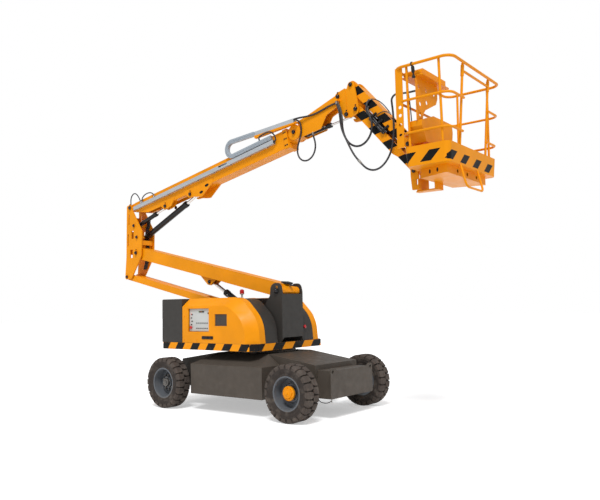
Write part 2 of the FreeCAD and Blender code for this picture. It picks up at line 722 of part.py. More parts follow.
def make_knuckle():
    """Twin plates with cross webs and five pins."""
    pins = knuckle_points()
    low = pins["boom"]
    body = new_body("knuckle", low)
    inner = size("knuckle_inner") / 2
    plate = size("knuckle_plate")
    outline = ((-262, 798, 20), (-150, 830, 60), (-100, 700, 60), (133, 354, 30), (126, -56, 30),
               (-133, -419, 30), (-300, -430, 40), (-268, -60, 200))
    slots = (((-205, 480), (-195, 660)), ((-225, 120), (-220, 330)))
    for side in (-1, 1):
        plate_xz(body, outline, "{knuckle_plate}", side * (inner + plate / 2))
        for (x0, z0), (x1, z1) in slots:
            cut_xz(body, ((x0 - 14, z0, 13), (x0 + 14, z0, 13), (x1 + 14, z1, 13), (x1 - 14, z1, 13)),
                   plate + 2, side * (inner + plate / 2))
    web = 2 * inner + 2
    plate_xz(body, ((-264, 440), (-250, 440), (-244, 620), (-258, 620)), web)
    plate_xz(body, ((-280, -10), (-266, -10), (-256, 380), (-270, 380)), web)
    plate_xz(body, box(98, 125, 112, 200), web)
    for name, radius in (("boom", "pin_radius"), ("upper", "pin_radius"), ("link", "small_pin"),
                         ("level", "small_pin"), ("lift", "small_pin")):
        x, z = pins[name]
        rod_y(body, x - low[0], z - low[1], size(radius), 2 * (inner + plate + 12))


Cylinder = namedtuple("Cylinder", "barrel rod reach bottom tail eye width side pin_near pin_far")

# Barrel and rod radius, barrel length, bore bottom and rod length from their pins, eye radius
# and width, place along Y, and the two ends of the pin that the rod's eye turns with.
CYLINDERS = {
    "riser": Cylinder(45.0, 25.0, 1170.0, 90.0, 900.0, 40.0, 96.0, 0.0, -49.7, 49.7),
    "lift": Cylinder(45.0, 25.0, 1120.0, 80.0, 900.0, 34.0, 56.0, 44.0, -80.7, 80.7),
    "level": Cylinder(34.0, 18.0, 500.0, 60.0, 648.0, 32.0, 48.0, -51.5, -80.7, -22.3),
    "slave": Cylinder(28.0, 15.0, 395.0, 32.0, 400.0, 28.0, 50.0, 0.0, -105.7, 105.7),
    "jib": Cylinder(34.0, 20.0, 770.0, 45.0, 790.0, 32.0, 60.0, 0.0, -58.7, 58.7),
}


def pin_heads(body, x, z, radius, inner, outer):
    """Ends of a pin outside two plates; its middle turns with the rod's eye."""
    for side in (-1, 1):
        rod_y(body, x, z, radius, outer - inner, side * (inner + outer) / 2)


def make_cylinder(name, foot, head):
    """Barrel with its foot eye and gland, and a rod whose eye carries the pin of its fork."""
    sizes = CYLINDERS[name]
    length = math.hypot(head[0] - foot[0], head[1] - foot[1])
    angle = math.degrees(math.atan2(head[1] - foot[1], head[0] - foot[0]))
    barrel = new_body(name + "_barrel", foot, angle, sizes.side)
    rod_y(barrel, 0, 0, sizes.eye, sizes.width)
    start = sizes.eye * 0.6
    slab_yz(barrel, (), start, sizes.reach - start, ((0, 0, sizes.barrel),))
    slab_yz(barrel, (), sizes.reach - 50, 50, ((0, 0, sizes.barrel + 5),))
    slot_yz(barrel, (), sizes.bottom, sizes.reach, ((0, 0, sizes.rod + 2 * size("pin_gap")),))
    bore_y(barrel, 0, 0, size("small_pin") + size("pin_gap"), sizes.width + 20)
    rod = new_body(name + "_rod", head, angle, sizes.side)
    rod_y(rod, 0, 0, sizes.eye, sizes.width)
    rod_y(rod, 0, 0, size("small_pin"), sizes.pin_far - sizes.pin_near,
          (sizes.pin_near + sizes.pin_far) / 2 - sizes.side)
    slab_yz(rod, (), -sizes.tail, sizes.tail - start, ((0, 0, sizes.rod),))


def boom_point(along, across):
    """A point of the upper boom's own axes in the machine frame."""
    pivot = knuckle_points()["upper"]
    point = polar(pivot, along, size("boom_angle"))
    return polar(point, across, size("boom_angle") + 90)


def make_upper_boom():
    """Outer section: box tube with a pivot end, a front collar and two cylinder brackets."""
    pivot = knuckle_points()["upper"]
    body = new_body("upper_boom", pivot, size("boom_angle"))
    mid = size("boom_line")
    half = size("boom_depth") / 2
    length = size("boom_length")
    wall = size("tube_wall")
    wide = size("boom_width")
    inside = wide / 2 - wall
    belly = mid - half
    plate_xz(body, ((-55, -45, 50), (392, belly, 30), (length, belly), (length, mid + half),
                    (60, mid + half, 30), (-55, 55, 50)), "{boom_width}")
    cut_xz(body, box(260, belly + wall, length - 90, mid + half - wall), 2 * inside)
    slab_yz(body, box(-wide / 2 - 14, belly - 14, wide / 2 + 14, mid + half + 14, 12),
            length - 70, 70)
    fly_low, fly_high = fly_edges()
    way = size("fly_width") / 2 + size("side_gap")
    slot_yz(body, box(-way, fly_low - size("side_gap"), way, fly_high + size("side_gap")),
            length - 100, 110)
    for low_x, high_x, low_y, high_y in BELLY_SLOTS:
        cut_xz(body, box(low_x, belly - 5, high_x, belly + wall + 20), high_y - low_y,
               (low_y + high_y) / 2)
    for along, drop, outline, plates in (
            (size("level_eye_along"), size("level_eye_drop"), LEVEL_GUSSET,
             ((-wide / 2 - 4, -81), (-22, -10))),
            (size("lift_eye_along"), size("lift_eye_drop"), LIFT_GUSSET,
             ((-wide / 2 - 4, -81), (81, wide / 2 + 4)))):
        for near, far in plates:
            plate_xz(body, tuple((along + dx, -drop + dz) + tuple(rest) for dx, dz, *rest in outline),
                     far - near, (near + far) / 2)
    for along, drop in ((size("level_eye_along"), size("level_eye_drop")),
                        (size("lift_eye_along"), size("lift_eye_drop"))):
        rod_y(body, along, -drop, size("small_pin") + 6, 10, -wide / 2 - 9)
    rod_y(body, size("lift_eye_along"), -size("lift_eye_drop"), size("small_pin") + 6, 10, wide / 2 + 9)
    bore_y(body, 0, 0, size("pin_radius") + size("pin_gap"), 400)


# Slots in the outer section's underside for the cylinders: from, to, then near and far side.
BELLY_SLOTS = (
    (300.0, 700.0, -91.0, -12.0),
    (690.0, 900.0, -81.5, -21.5),
    (560.0, 1360.0, -8.0, 91.5),
    (1340.0, 1510.0, -81.0, 81.0),
)
# Gusset outlines about a rod's eye: along, across, corner radius.
LEVEL_GUSSET = ((-140, 97, 8), (-105, 22, 20), (-42, -46, 38), (50, -46, 38), (135, -33, 20),
                (265, 97, 8))
LIFT_GUSSET = ((-142, 95, 8), (-100, 25, 20), (-45, -47, 38), (60, -60, 30), (130, -85, 30),
               (232, -112, 30), (515, 40, 15), (515, 95, 8))


def fly_edges():
    """Lower and upper side of the inner section, across the pivot line."""
    return (size("fly_line") - size("fly_depth") / 2, size("fly_line") + size("fly_depth") / 2)


def make_boom_tray():
    """Cable tray along the near side of the outer section."""
    pivot = knuckle_points()["upper"]
    body = new_body("cable_tray", pivot, size("boom_angle"))
    near = -size("boom_width") / 2
    low = size("tray_low")
    top = low + size("tray_depth")
    outer = near - size("tray_width")
    slab_yz(body, ((outer, low), (near, low), (near, top), (outer, top)), 80, "{tray_length}")
    slot_yz(body, ((outer + 4, low + 4), (near - 3, low + 4), (near - 3, top - 4),
                   (outer + 4, top - 4)), 75, "{tray_length} + 10")
    cut_xz(body, ((size("tray_length") - 1010, low + 30, 12), (size("tray_length") - 830, low + 30, 12),
                  (size("tray_length") - 830, top + 5), (size("tray_length") - 1010, top + 5)),
           8, outer)


def chain_top(along):
    """Underside of the chain's upper run and of the tray beyond it, above the pivot line."""
    start = size("chain_across") + size("chain_bend") - size("chain_thick")
    return start - (along - size("chain_along")) * math.tan(math.radians(size("chain_slope")))


def make_drag_chain():
    """Link chain: lower run, bend and upper run that feed the inner section's hoses."""
    pivot = knuckle_points()["upper"]
    body = new_body("drag_chain", pivot, size("boom_angle"))
    outer = size("chain_bend")
    thick = size("chain_thick")
    at, level = size("chain_along"), size("chain_across")
    wide = size("chain_width")
    middle = -size("boom_width") / 2 - size("running_gap") - wide / 2
    sketch = sketch_on(body, "XZ_Plane", -middle)
    draw(sketch, (), ((at, level, outer), (at, level, outer - thick)))
    pad(body, sketch, "{chain_width}")
    cut_xz(body, box(at, level - outer - 5, at + outer + 5, level + outer + 5), wide + 2, middle)
    low = level - outer
    run = size("chain_low_run")
    plate_xz(body, box(at, low, at + run, low + thick), "{chain_width}", middle)
    far = at + size("chain_top_run")
    plate_xz(body, ((at, chain_top(at)), (far, chain_top(far)), (far, chain_top(far) + thick),
                    (at, chain_top(at) + thick)), "{chain_width}", middle)
    pitch = size("chain_pitch")
    for step in range(1, int(run / pitch)):
        here = at + step * pitch
        cut_xz(body, box(here - 4, low - 6, here + 4, low + 6), wide + 2, middle)
        if here < far - 10:
            edge = chain_top(here) + thick
            cut_xz(body, box(here - 4, edge - 6, here + 4, edge + 8), wide + 2, middle)


def make_fly_tray():
    """Tray on the inner section's near side that carries the chain's moving end."""
    start = size("chain_along") + size("chain_top_run") + size("running_gap")
    length = size("fly_tray_length")
    deep = size("fly_tray_depth")
    pivot = knuckle_points()["upper"]
    body = new_body("fly_tray", pivot, size("boom_angle"))
    near = -size("boom_width") / 2 - size("running_gap")
    wide = size("chain_width")
    low = chain_top(start)
    fall = chain_top(start + length) - low
    plate_xz(body, ((start, low), (start + length, low + fall), (start + length, low + fall + deep),
                    (start, low + deep)), wide, near - wide / 2)
    cut_xz(body, ((start - 5, low + 3), (start + length + 5, low + fall + 3),
                  (start + length + 5, low + fall + deep + 5), (start - 5, low + deep + 5)),
           wide - 6, near - wide / 2)


def make_fly():
    """Inner section with its tapered nose and the bar that carries its cable tray."""
    pivot = knuckle_points()["upper"]
    body = new_body("fly_boom", pivot, size("boom_angle"))
    low, high = fly_edges()
    wide = size("fly_width")
    wall = size("tube_wall")
    start = size("fly_start")
    nose = size("nose_along")
    plate = size("nose_plate")
    plate_xz(body, box(start, low, nose + 30, high), "{fly_width}")
    cut_xz(body, box(start - 5, low + wall, nose + 35, high - wall), wide - 2 * wall)
    for side in (-1, 1):
        plate_xz(body, ((nose, low - 6), (3986, -134, 20), (4111, 9, 40), (4320, 55, 40),
                        (4440, 150, 36), (4340, 205, 40), (3789, 120), (nose, 108, 10)),
                 plate, side * (wide / 2 - plate / 2))
    inside = wide - plate
    plate_xz(body, ((nose, 96), (3789, 108), (4290, 178), (4290, 190), (3789, 120), (nose, 108)), inside)
    plate_xz(body, box(nose, low - 6, nose + 34, low + 6), inside)
    plate_xz(body, box(nose, high - wall, nose + plate, 108), inside)
    slave = fly_local("slave")
    head = fly_local("head")
    rod_y(body, slave[0], slave[1], size("small_pin"), wide)
    for side in (-1, 1):
        middle = side * (wide / 2 + 7)
        rod_y(body, 3562, -21, 105, 14, middle)
        rod_y(body, 3562, -21, size("pin_radius"), 12, side * (wide / 2 + 20))
    bore_y(body, head[0], head[1], size("small_pin") + size("pin_gap"), 300)
    rear = size("chain_along") + size("chain_top_run") + 2
    front = size("bar_end")
    near = -size("boom_width") / 2 - size("running_gap")
    deep = size("chain_width")
    gap = size("running_gap")
    over = size("boom_line") + size("boom_depth") / 2 + 14 + size("side_gap")
    plate_xz(body, ((rear, chain_top(rear) - 42, 6), (3440, over), (front, over - 14),
                    (front, chain_top(front) - gap), (rear, chain_top(rear) - gap)),
             deep, near - deep / 2)
    inner = -wide / 2 + plate
    plate_xz(body, box(nose + 2, over - 14, front, over + 8), inner - near + deep,
             (inner + near - deep) / 2)


# Pins of the head and jib end, relative to the head's pivot on the nose: name, x, z.
HEAD_PINS = {
    "arm_top": (199.0, 114.0),
    "arm_low": (265.0, -213.0),
    "slave": (128.0, -255.0),
}
HEAD_ALONG = 4367.0
HEAD_ACROSS = 140.0
SLAVE_ALONG = 3720.0
SLAVE_ACROSS = -98.0


def head_point(name=None):
    """The head's pivot, or one of its pins, in the machine frame."""
    pivot = boom_point(HEAD_ALONG, HEAD_ACROSS)
    if name is None:
        return pivot
    dx, dz = HEAD_PINS[name]
    return (pivot[0] + dx, pivot[1] + dz)


def fly_local(name):
    """Points of the inner section, along and across the pivot line."""
    return {"slave": (SLAVE_ALONG, SLAVE_ACROSS), "head": (HEAD_ALONG, HEAD_ACROSS)}[name]


def make_head():
    """Twin plates that join the nose, the jib arms and the levelling rod."""
    body = new_body("jib_head", head_point())
    inner = size("head_inner") / 2
    plate = size("head_plate")
    outline = ((-45, -35, 40), (-45, 42, 42), (100, 88, 12), (132, 72, 8), (165, 154, 38),
               (238, 154, 38), (305, -190, 40), (305, -262, 40), (200, -302, 20), (95, -300, 38),
               (50, -215, 20))
    for side in (-1, 1):
        plate_xz(body, outline, "{head_plate}", side * (inner + plate / 2))
        rod_y(body, 0, 0, 34, inner - size("fly_width") / 2 - 1,
              side * (inner + size("fly_width") / 2 + 1) / 2)
    plate_xz(body, box(-10, -72, 34, -44, 8), 70, -(inner + plate + 34))
    fold = ((104, 86), (112, 86), (152, -296), (144, -296))
    plate_xz(body, fold, 6, -(inner + plate + 1))
    rod_y(body, 0, 0, size("small_pin"), 2 * (inner + plate + 10))
    for name, (dx, dz) in HEAD_PINS.items():
        if name == "slave":
            pin_heads(body, dx, dz, size("small_pin") + 6, inner + plate, inner + plate + 10)
        else:
            rod_y(body, dx, dz, size("small_pin"), 2 * (inner + plate + 10))


def jib_point(name, along=None):
    """Where a jib arm's outer pin is."""
    length = size("jib_length") if along is None else along
    return polar(head_point(name), length, -size("jib_angle"))


def make_jib_arm(label, pin, web, web_end, taper):
    """Two bars joined by a web on the side away from the jib cylinder."""
    body = new_body(label, head_point(pin), -size("jib_angle"))
    length = size("jib_length")
    half = size("jib_depth") / 2
    bar = size("jib_bar")
    way = size("jib_gap") / 2
    if taper:
        outline = ((-half + 4, -half, half - 6), (length - 380, -half), (length - 300, -34),
                   (length + half - 4, -30, 28), (length + half - 4, half, half - 6),
                   (-half + 4, half, half - 6))
    else:
        outline = box(-half + 4, -half, length + half - 4, half, half - 6)
    for side in (-1, 1):
        plate_xz(body, outline, "{jib_bar}", side * (way + bar / 2))
    edge = web * half
    plate_xz(body, box(90, min(edge, edge - web * 8), web_end, max(edge, edge - web * 8)),
             2 * way + 10)
    for at in (0, length):
        bore_y(body, at, 0, size("small_pin") + size("pin_gap"), 400)


def make_jib_end():
    """Plates at the jib's foot with the housing of the basket's turning gear."""
    top = jib_point("arm_top")
    low = jib_point("arm_low")
    body = new_body("jib_end", low)
    inner = size("head_inner") / 2
    plate = size("head_plate")
    dx, dz = top[0] - low[0], top[1] - low[1]
    under = size("turn_top") + size("turn_depth")
    outline = ((dx - 46, dz + 44, 42), (dx + 40, dz + 44, 42), (40, 30, 30), (58, -60, 30),
               (58, -under, 12), (-30, -under, 12), (-46, -60, 40), (-46, 20, 30))
    for side in (-1, 1):
        plate_xz(body, outline, "{head_plate}", side * (inner + plate / 2))
    way = size("jib_gap") / 2
    for x, z in ((0, 0), (dx, dz)):
        pin_heads(body, x, z, size("small_pin"), way, inner + plate + 10)
    slab_yz(body, box(-inner - 2, -under, inner + 2, -95), 46, 12)
    turn = size("turn_reach")
    radius = size("turn_radius")
    slab_xy(body, box(turn, -radius, 50, radius), -under, "{turn_depth}")
    slab_xy(body, (), -under, "{turn_depth}", ((turn, 0, radius),))
    for side in (-1, 1):
        cut_xz(body, ((26, -170, 10), (46, -170, 10), (46, -100, 10), (26, -100, 10)),
               plate + 2, side * (inner + plate / 2))


def basket_place():
    """Turning axis, floor's underside, toe board's top and top rail, in the machine frame."""
    x, z = jib_point("arm_low")
    floor = z - size("basket_drop")
    return x + size("turn_reach"), floor, floor + size("toe_height"), floor + size("rail_height")


def basket_levels():
    """Rail heights and how far each lies inside the top rail."""
    axis, floor, toe, top = basket_place()
    flare = size("basket_flare")
    span = top - floor
    heights = (top, toe + (top - toe) * 0.575, toe + (top - toe) * 0.17, toe)
    return tuple((z, flare * (top - z) / span) for z in heights)


def basket_corners(inset):
    """Plan outline of the basket at an inset from the top rail: rear, front, half width."""
    rear = basket_place()[0] + size("basket_setback")
    return (rear + inset, rear + size("basket_depth") - inset * 0.9,
            size("basket_width") / 2 - inset * 0.4)


def make_basket_floor():
    """Floor tray with flared toe boards, open above."""
    body = new_body("basket_floor")
    axis, floor, toe, top = basket_place()
    levels = basket_levels()
    toe_inset = levels[-1][1]
    rear, front, half = basket_corners(size("basket_flare"))
    low = sketch_on(body, "XY_Plane", floor)
    draw(low, box(rear, -half, front, half, 60))
    rear, front, half = basket_corners(toe_inset)
    high = sketch_on(body, "XY_Plane", toe)
    draw(high, box(rear, -half, front, half, 60))
    shell = body.newObject("PartDesign::AdditiveLoft", "Tray")
    shell.Profile = low
    shell.Sections = [high]
    shell.Ruled = True
    sheet_wall = size("toe_sheet")
    rear, front, half = basket_corners(size("basket_flare"))
    low = sketch_on(body, "XY_Plane", floor + sheet_wall)
    draw(low, box(rear + sheet_wall, -half + sheet_wall, front - sheet_wall, half - sheet_wall, 56))
    rear, front, half = basket_corners(toe_inset)
    high = sketch_on(body, "XY_Plane", toe + 1)
    draw(high, box(rear + sheet_wall, -half + sheet_wall, front - sheet_wall, half - sheet_wall, 56))
    hollow = body.newObject("PartDesign::SubtractiveLoft", "Hollow")
    hollow.Profile = low
    hollow.Sections = [high]
    hollow.Ruled = True
    return body


def ring(z, inset, radius, corner):
    """A closed rail round the basket."""
    rear, front, half = basket_corners(inset)
    curves = rounded(box(rear, -half, front, half, corner))
    wire = Part.Wire([curve.toShape() for curve in curves])
    wire.translate(Vector(0, 0, z))
    return pipe(wire, radius)


def pipe(wire, radius):
    """A round bar along a wire of lines and tangent arcs."""
    edge = wire.OrderedEdges[0]
    start = edge.valueAt(edge.FirstParameter)
    direction = edge.tangentAt(edge.FirstParameter)
    if wire.OrderedVertexes[0].Point.distanceToPoint(start) > 1e-6:
        start = edge.valueAt(edge.LastParameter)
        direction = edge.tangentAt(edge.LastParameter)
    profile = Part.Wire([Part.Circle(start, direction, radius).toShape()])
    return wire.makePipeShell([profile], True, False)


def post(x, y, z_low, z_high, radius, lean=(0, 0)):
    """A post from the toe board to the top rail."""
    base = Vector(x + lean[0], y + lean[1], z_low)
    tip = Vector(x, y, z_high)
    return Part.makeCylinder(radius, (tip - base).Length, base, tip - base)


def make_feature(label, shape):
    """A piece whose shape is set here, then placed."""
    feature = document.addObject("Part::Feature", label)
    feature.Label = label
    feature.Shape = shape
    place(feature)
    pieces.append(feature)
    return feature


def make_basket_rails(tray):
    """Rails, corner posts, entry posts, the holed corner plate and the bent foot rung."""
    levels = basket_levels()
    radius = size("rail_radius")
    thin = size("post_radius")
    axis, floor, toe, top = basket_place()
    solids = [ring(top, 0.0, radius, 110.0)]
    for z, inset in levels[1:3]:
        solids.append(ring(z, inset, thin, 100.0))
    rear, front, half = basket_corners(0.0)
    lean_x = size("basket_flare")
    lean_y = lean_x * 0.4
    foot = floor + size("toe_sheet")
    seat = thin + 2 * size("toe_sheet")
    for x, sx in ((rear, 1), (front, -0.9)):
        for y, sy in ((-half, 1), (half, -1)):
            shift = 150.0 if sx > 0 else -150.0
            solids.append(post(x + shift, y + sy * seat, foot, top, thin, (0.0, sy * lean_y)))
    for y in (size("gate_near"), size("gate_far")):
        solids.append(post(front - seat, y, foot, top, thin, (-0.9 * lean_x, 0.0)))
    whole = solids[0].fuse(solids[1:])
    way = size("gate_far") - size("gate_near") - 2 * thin - 2
    opening = Part.makeBox(200, way, top - toe - 60,
                           Vector(front - 120, size("gate_near") + thin + 1, toe - 10))
    tray_solid = tray.Shape.copy()
    tray_solid.translate(Vector(-size("row_shift"), 0, 0))
    rung = foot_rung(floor)
    plate = corner_plate(rear, half, toe, top)
    make_feature("basket_rails", whole.cut([opening]).fuse([rung, plate]).cut([tray_solid]).removeSplitter())


def corner_plate(rear, half, toe, top):
    """Holed plate in the near rear corner, on the rails' inner side."""
    side = -half + 14
    plate = Part.makeBox(88, 6, top - toe, Vector(rear + 12, side, toe))
    for height in (140.0, 255.0, 360.0, 450.0):
        plate = plate.cut(Part.makeCylinder(19, 20, Vector(rear + 60, side - 5, toe + height),
                                            Vector(0, 1, 0)))
    return plate


def foot_rung(floor):
    """Bent foot rung below the entry."""
    front = basket_corners(size("basket_flare"))[1] - 2
    drop = size("step_drop")
    points = (Vector(front, -340, floor), Vector(front + 62, -340, floor - drop),
              Vector(front + 62, 100, floor - drop), Vector(front, 100, floor))
    return pipe(round_wire(points, (60, 60)), 12.0)


def make_gate():
    """Bar across the entry, on sleeves that slide down the two entry posts."""
    axis, floor, toe, top = basket_place()
    front = basket_corners(0.0)[1]
    thin = size("post_radius")
    seat = thin + 2 * size("toe_sheet")
    lean = 0.9 * size("basket_flare")
    high = top - size("rail_radius") - size("side_gap")
    low = high - size("gate_sleeve")
    rise = top - floor - size("toe_sheet")
    sleeves = []
    for y in (size("gate_near"), size("gate_far")):
        ends = [Vector(front - seat - lean * (top - z) / rise, y, z) for z in (low, high)]
        run = ends[1] - ends[0]
        tube = Part.makeCylinder(thin + 5, run.Length, ends[0], run)
        bore = Part.makeCylinder(thin + size("running_gap"), 2 * run.Length, ends[0] - run * 0.5, run)
        sleeves.append((ends, tube, bore))
    middle = [(ends[0] + ends[1]) * 0.5 for ends, tube, bore in sleeves]
    bar = Part.makeCylinder(thin, (middle[1] - middle[0]).Length, middle[0], Vector(0, 1, 0))
    whole = bar.fuse([tube for ends, tube, bore in sleeves]).cut([bore for ends, tube, bore in sleeves])
    make_feature("gate_bar", whole.removeSplitter())


def round_wire(points, radii):
    """An open wire of straight runs with an arc of the given radius at each inner point."""
    edges = []
    last = points[0]
    for i in range(1, len(points) - 1):
        before = (points[i - 1] - points[i]).normalize()
        after = (points[i + 1] - points[i]).normalize()
        half = before.getAngle(after) / 2
        radius = radii[i - 1]
        reach = radius / math.tan(half)
        inward = (before + after).normalize()
        centre = points[i] + inward * (radius / math.sin(half))
        start = points[i] + before * reach
        finish = points[i] + after * reach
        edges.append(Part.LineSegment(last, start).toShape())
        edges.append(Part.Arc(start, centre - inward * radius, finish).toShape())
        last = finish
    edges.append(Part.LineSegment(last, points[-1]).toShape())
    return Part.Wire(edges)


def make_cradle():
    """Welded frame under the floor, hung on the turning gear by its neck plate."""
    body = new_body("basket_cradle")
    turn, floor, toe, top = basket_place()
    low_pin = jib_point("arm_low")[1]
    house = low_pin - size("turn_top") - size("turn_depth") - size("running_gap")
    neck = house - size("neck_plate")
    bottom = floor - size("frame_depth")
    rear = turn + 215
    slab_xy(body, ((turn, -50), (rear + 40, -70), (rear + 40, 70), (turn, 50)), neck, "{neck_plate}")
    slab_xy(body, (), neck, "{neck_plate}", ((turn, 0, 50),))
    slab_yz(body, box(-70, neck, 70, bottom + 20), rear, 40)
    outline = ((rear, -400, 15), (rear + 370, -525, 15), (rear + 370, 525, 15), (rear, 400, 15))
    inside = ((rear + 8, -386, 8), (rear + 362, -507, 8), (rear + 362, 507, 8), (rear + 8, 386, 8))
    slab_xy(body, outline, bottom, floor - bottom)
    slot_xy(body, inside, bottom + 8, floor - bottom)
    for y in (-250, 0, 250):
        slot_yz(body, (), rear + 350, 40, ((y, bottom + 50, 22),))


def make_console():
    """Control box on its holed bracket, and the open box behind the rear rails."""
    body = new_body("console_post")
    axis, floor, toe, top = basket_place()
    rear = basket_corners(0.0)[0]
    at = rear + 122
    bin_outline = ((-505, floor + 274), (-598, floor + 440, 20), (-598, floor + 500, 10),
                   (-322, floor + 595, 10), (145, floor + 595, 10), (161, floor + 500, 10),
                   (120, floor + 274))
    slab_yz(body, bin_outline, at, 170)
    slot_yz(body, ((-496, floor + 280), (-590, floor + 448, 16), (-590, floor + 620),
                   (152, floor + 620), (152, floor + 500, 8), (112, floor + 280)), at + 4, 162)
    for y in (-420.0, -60.0):
        slab_xy(body, box(at, y - 40, at + 12, y + 40), floor + size("toe_sheet"), 272)
    shelf = floor + 985
    bracket = ((-624, floor + 500), (-497, floor + 515, 10), (-470, floor + 593, 20),
               (-422, floor + 646, 30), (-156, floor + 772, 30), (-115, floor + 846, 10),
               (-115, shelf), (-624, shelf))
    holes = ((-537, floor + 692, 24), (-383, floor + 739, 24), (-199, floor + 880, 24),
             (-545, floor + 576, 24), (-388, floor + 880, 24), (-560, floor + 880, 24))
    slab_yz(body, bracket, rear + 240, 8, holes)
    slab_xy(body, box(rear + 75, -624, rear + 330, 40, 20), shelf, 10)
    slab_xy(body, box(rear + 80, -600, rear + 300, 20, 25), shelf + 10, 80)
    slot_yz(body, ((-605, shelf + 60), (-540, shelf + 100), (-605, shelf + 100)), rear + 70, 240)


def cord_wire(points):
    """Straight runs joined by arcs as large as the runs allow, and the smallest radius."""
    runs = [(b - a).Length for a, b in zip(points, points[1:])]
    radii = []
    for i in range(1, len(points) - 1):
        before = points[i - 1] - points[i]
        after = points[i + 1] - points[i]
        half = before.getAngle(after) / 2
        radii.append(0.45 * min(runs[i - 1], runs[i]) * math.tan(half))
    return round_wire(points, radii), min(radii)


def make_hose(label, routes, radius):
    """Hoses of one node, each along its own route."""
    tubes = []
    for route in routes:
        wire, least = cord_wire([Vector(*point) for point in route])
        tube = pipe(wire, radius)
        wanted = math.pi * radius * radius * wire.Length
        print("%s: length %.0f, smallest radius %.0f, volume ratio %.4f"
              % (label, wire.Length, least, tube.Volume / wanted))
        tubes.append(tube)
    make_feature(label, tubes[0] if len(tubes) == 1 else Part.makeCompound(tubes))


def from_boom(route):
    """Points given along, aside and across the upper boom, in the machine frame."""
    placed = []
    for along, aside, across in route:
        x, z = boom_point(along, across)
        placed.append((x, aside, z))
    return placed


def from_arm(pin, route):
    """Points given along, aside and across a jib arm, in the machine frame."""
    placed = []
    for along, aside, across in route:
        x, z = polar(polar(head_point(pin), along, -size("jib_angle")), across, 90 - size("jib_angle"))
        placed.append((x, aside, z))
    return placed


def from_head(route):
    """Points given from the head's pivot, in the machine frame."""
    x, z = head_point()
    return [(x + dx, aside, z + dz) for dx, aside, dz in route]


# Routes of the hoses on the upper boom and its inner section: along, aside, across.
HUMP_ROUTE = ((2970, -122, 68.3), (2970, -122, 89), (2982, -139, 104), (3014, -157, 114),
              (3076, -157, 120), (3140, -156.6, 124), (3195, -156, 114), (3240, -156, 85),
              (3270, -154, 42), (3280, -148, -5), (3266, -134, -33), (3238, -122, -39),
              (3220.3, -118, -39))
KNUCKLE_ROUTE = ((-12, -105, 50), (-9, -105, 85), (-2, -105, 132), (16, -105, 178),
                 (54, -105, 212), (104, -106, 224), (155, -109, 204), (196, -113, 164),
                 (226, -116, 116), (248, -117, 68), (260, -117, 30), (260, -117, -8.7))
ARCH_ROUTE = ((292, -117, -8.7), (292, -117, 28), (306, -117, 68), (344, -116, 98),
              (400, -115, 114), (462, -114, 116), (524, -114, 104), (572, -115, 78),
              (604, -116, 38), (604, -117, -8.7))
NOSE_ROUTE = ((3617.6, -124, 134), (3690, -118, 126), (3765, -106, 112), (3840, -94, 97),
              (3920, -88, 88), (4000, -87, 86.5), (4085, -87, 91), (4165, -87, 98),
              (4240, -88, 99), (4310, -88, 90), (4372, -88, 68), (4425, -88, 38))
LOOP_ROUTE = ((3617.6, -107, 114.5), (3640, -107, 114.5), (3666, -103, 105), (3684, -96, 80),
              (3692, -89, 34), (3689, -86, -32), (3665, -86, -98), (3624, -86, -165),
              (3582, -86, -232), (3558, -86, -306), (3567, -86, -384), (3612, -86, -448),
              (3681, -84, -478), (3754, -80, -466), (3812, -76, -422), (3846, -72, -360),
              (3857, -68, -296), (3855, -67, -240), (3848, -67, -190), (3848, -67, -131.4))
# Routes on the lower jib arm: along, aside, across.
ARM_ROUTES = (((170, -51.7, 10), (172, -51.7, 48), (190, -50, 72), (240, -47.4, 84.6),
               (330, -47.2, 84), (430, -47, 84.8), (530, -47.2, 84), (620, -47, 84.8),
               (710, -47.2, 83), (790, -47, 76), (846, -49, 64), (884, -51.7, 42), (886, -51.7, 10)),
              ((62, -51.7, 14), (64, -51.7, 56), (84, -49, 88), (136, -47, 101.6),
               (230, -47.2, 101), (330, -47, 101.8), (430, -47.2, 101), (530, -47, 101.8),
               (620, -47.2, 101), (710, -47, 100), (786, -47, 93), (856, -47.2, 84),
               (920, -47, 80), (968, -49, 64), (998, -51.7, 42), (1000, -51.7, 12)))
# Routes that hang from the clamp below the head's pivot: ahead, aside, above the pivot.
JIB_ROUTE = ((12, -152, -72.3), (12, -152, -98), (34, -152, -142), (55, -152, -204), (66, -152, -278),
             (72, -152, -360), (79, -152, -446), (104, -152, -534), (149, -152, -612),
             (212, -152, -670), (288, -152, -700), (370, -152, -692), (440, -152, -648),
             (489, -152, -582), (511, -152, -505), (506, -152, -425), (482, -151, -348),
             (456, -150, -280), (442, -142, -240), (436, -124, -224), (436, -99.5, -224))
SLING_ROUTE = ((12, -180, -72.3), (12, -180, -98), (30, -180, -142), (49, -180, -206), (61, -180, -284),
               (68, -180, -368), (84, -180, -450), (116, -180, -528), (154, -180, -604),
               (192, -180, -684), (234, -180, -764), (282.6, -180, -838.6), (335, -180, -899))
BASKET_ROUTE = ((335.3, -180, -899.3), (387.5, -180, -959.4), (452, -179, -1012),
                (530, -175, -1037), (608, -168, -1024), (678, -160, -974), (735, -154, -900),
                (776, -152, -810), (800, -152, -710), (812, -152, -608), (814, -152, -508),
                (810, -152, -414), (803, -152, -326), (796, -152, -262), (792, -152, -215),
                (803.5, -145.4, -183), (824.7, -133.2, -158.6), (852.4, -117.3, -145.3),
                (882.4, -100.1, -145.3))
CONSOLE_ROUTE = ((883.1, -99.7, -145.3), (922.1, -77.2, -145.6), (975, -56, -143),
                 (1040, -43, -139), (1100, -39, -140), (1150, -40, -142), (1200.7, -40, -142))


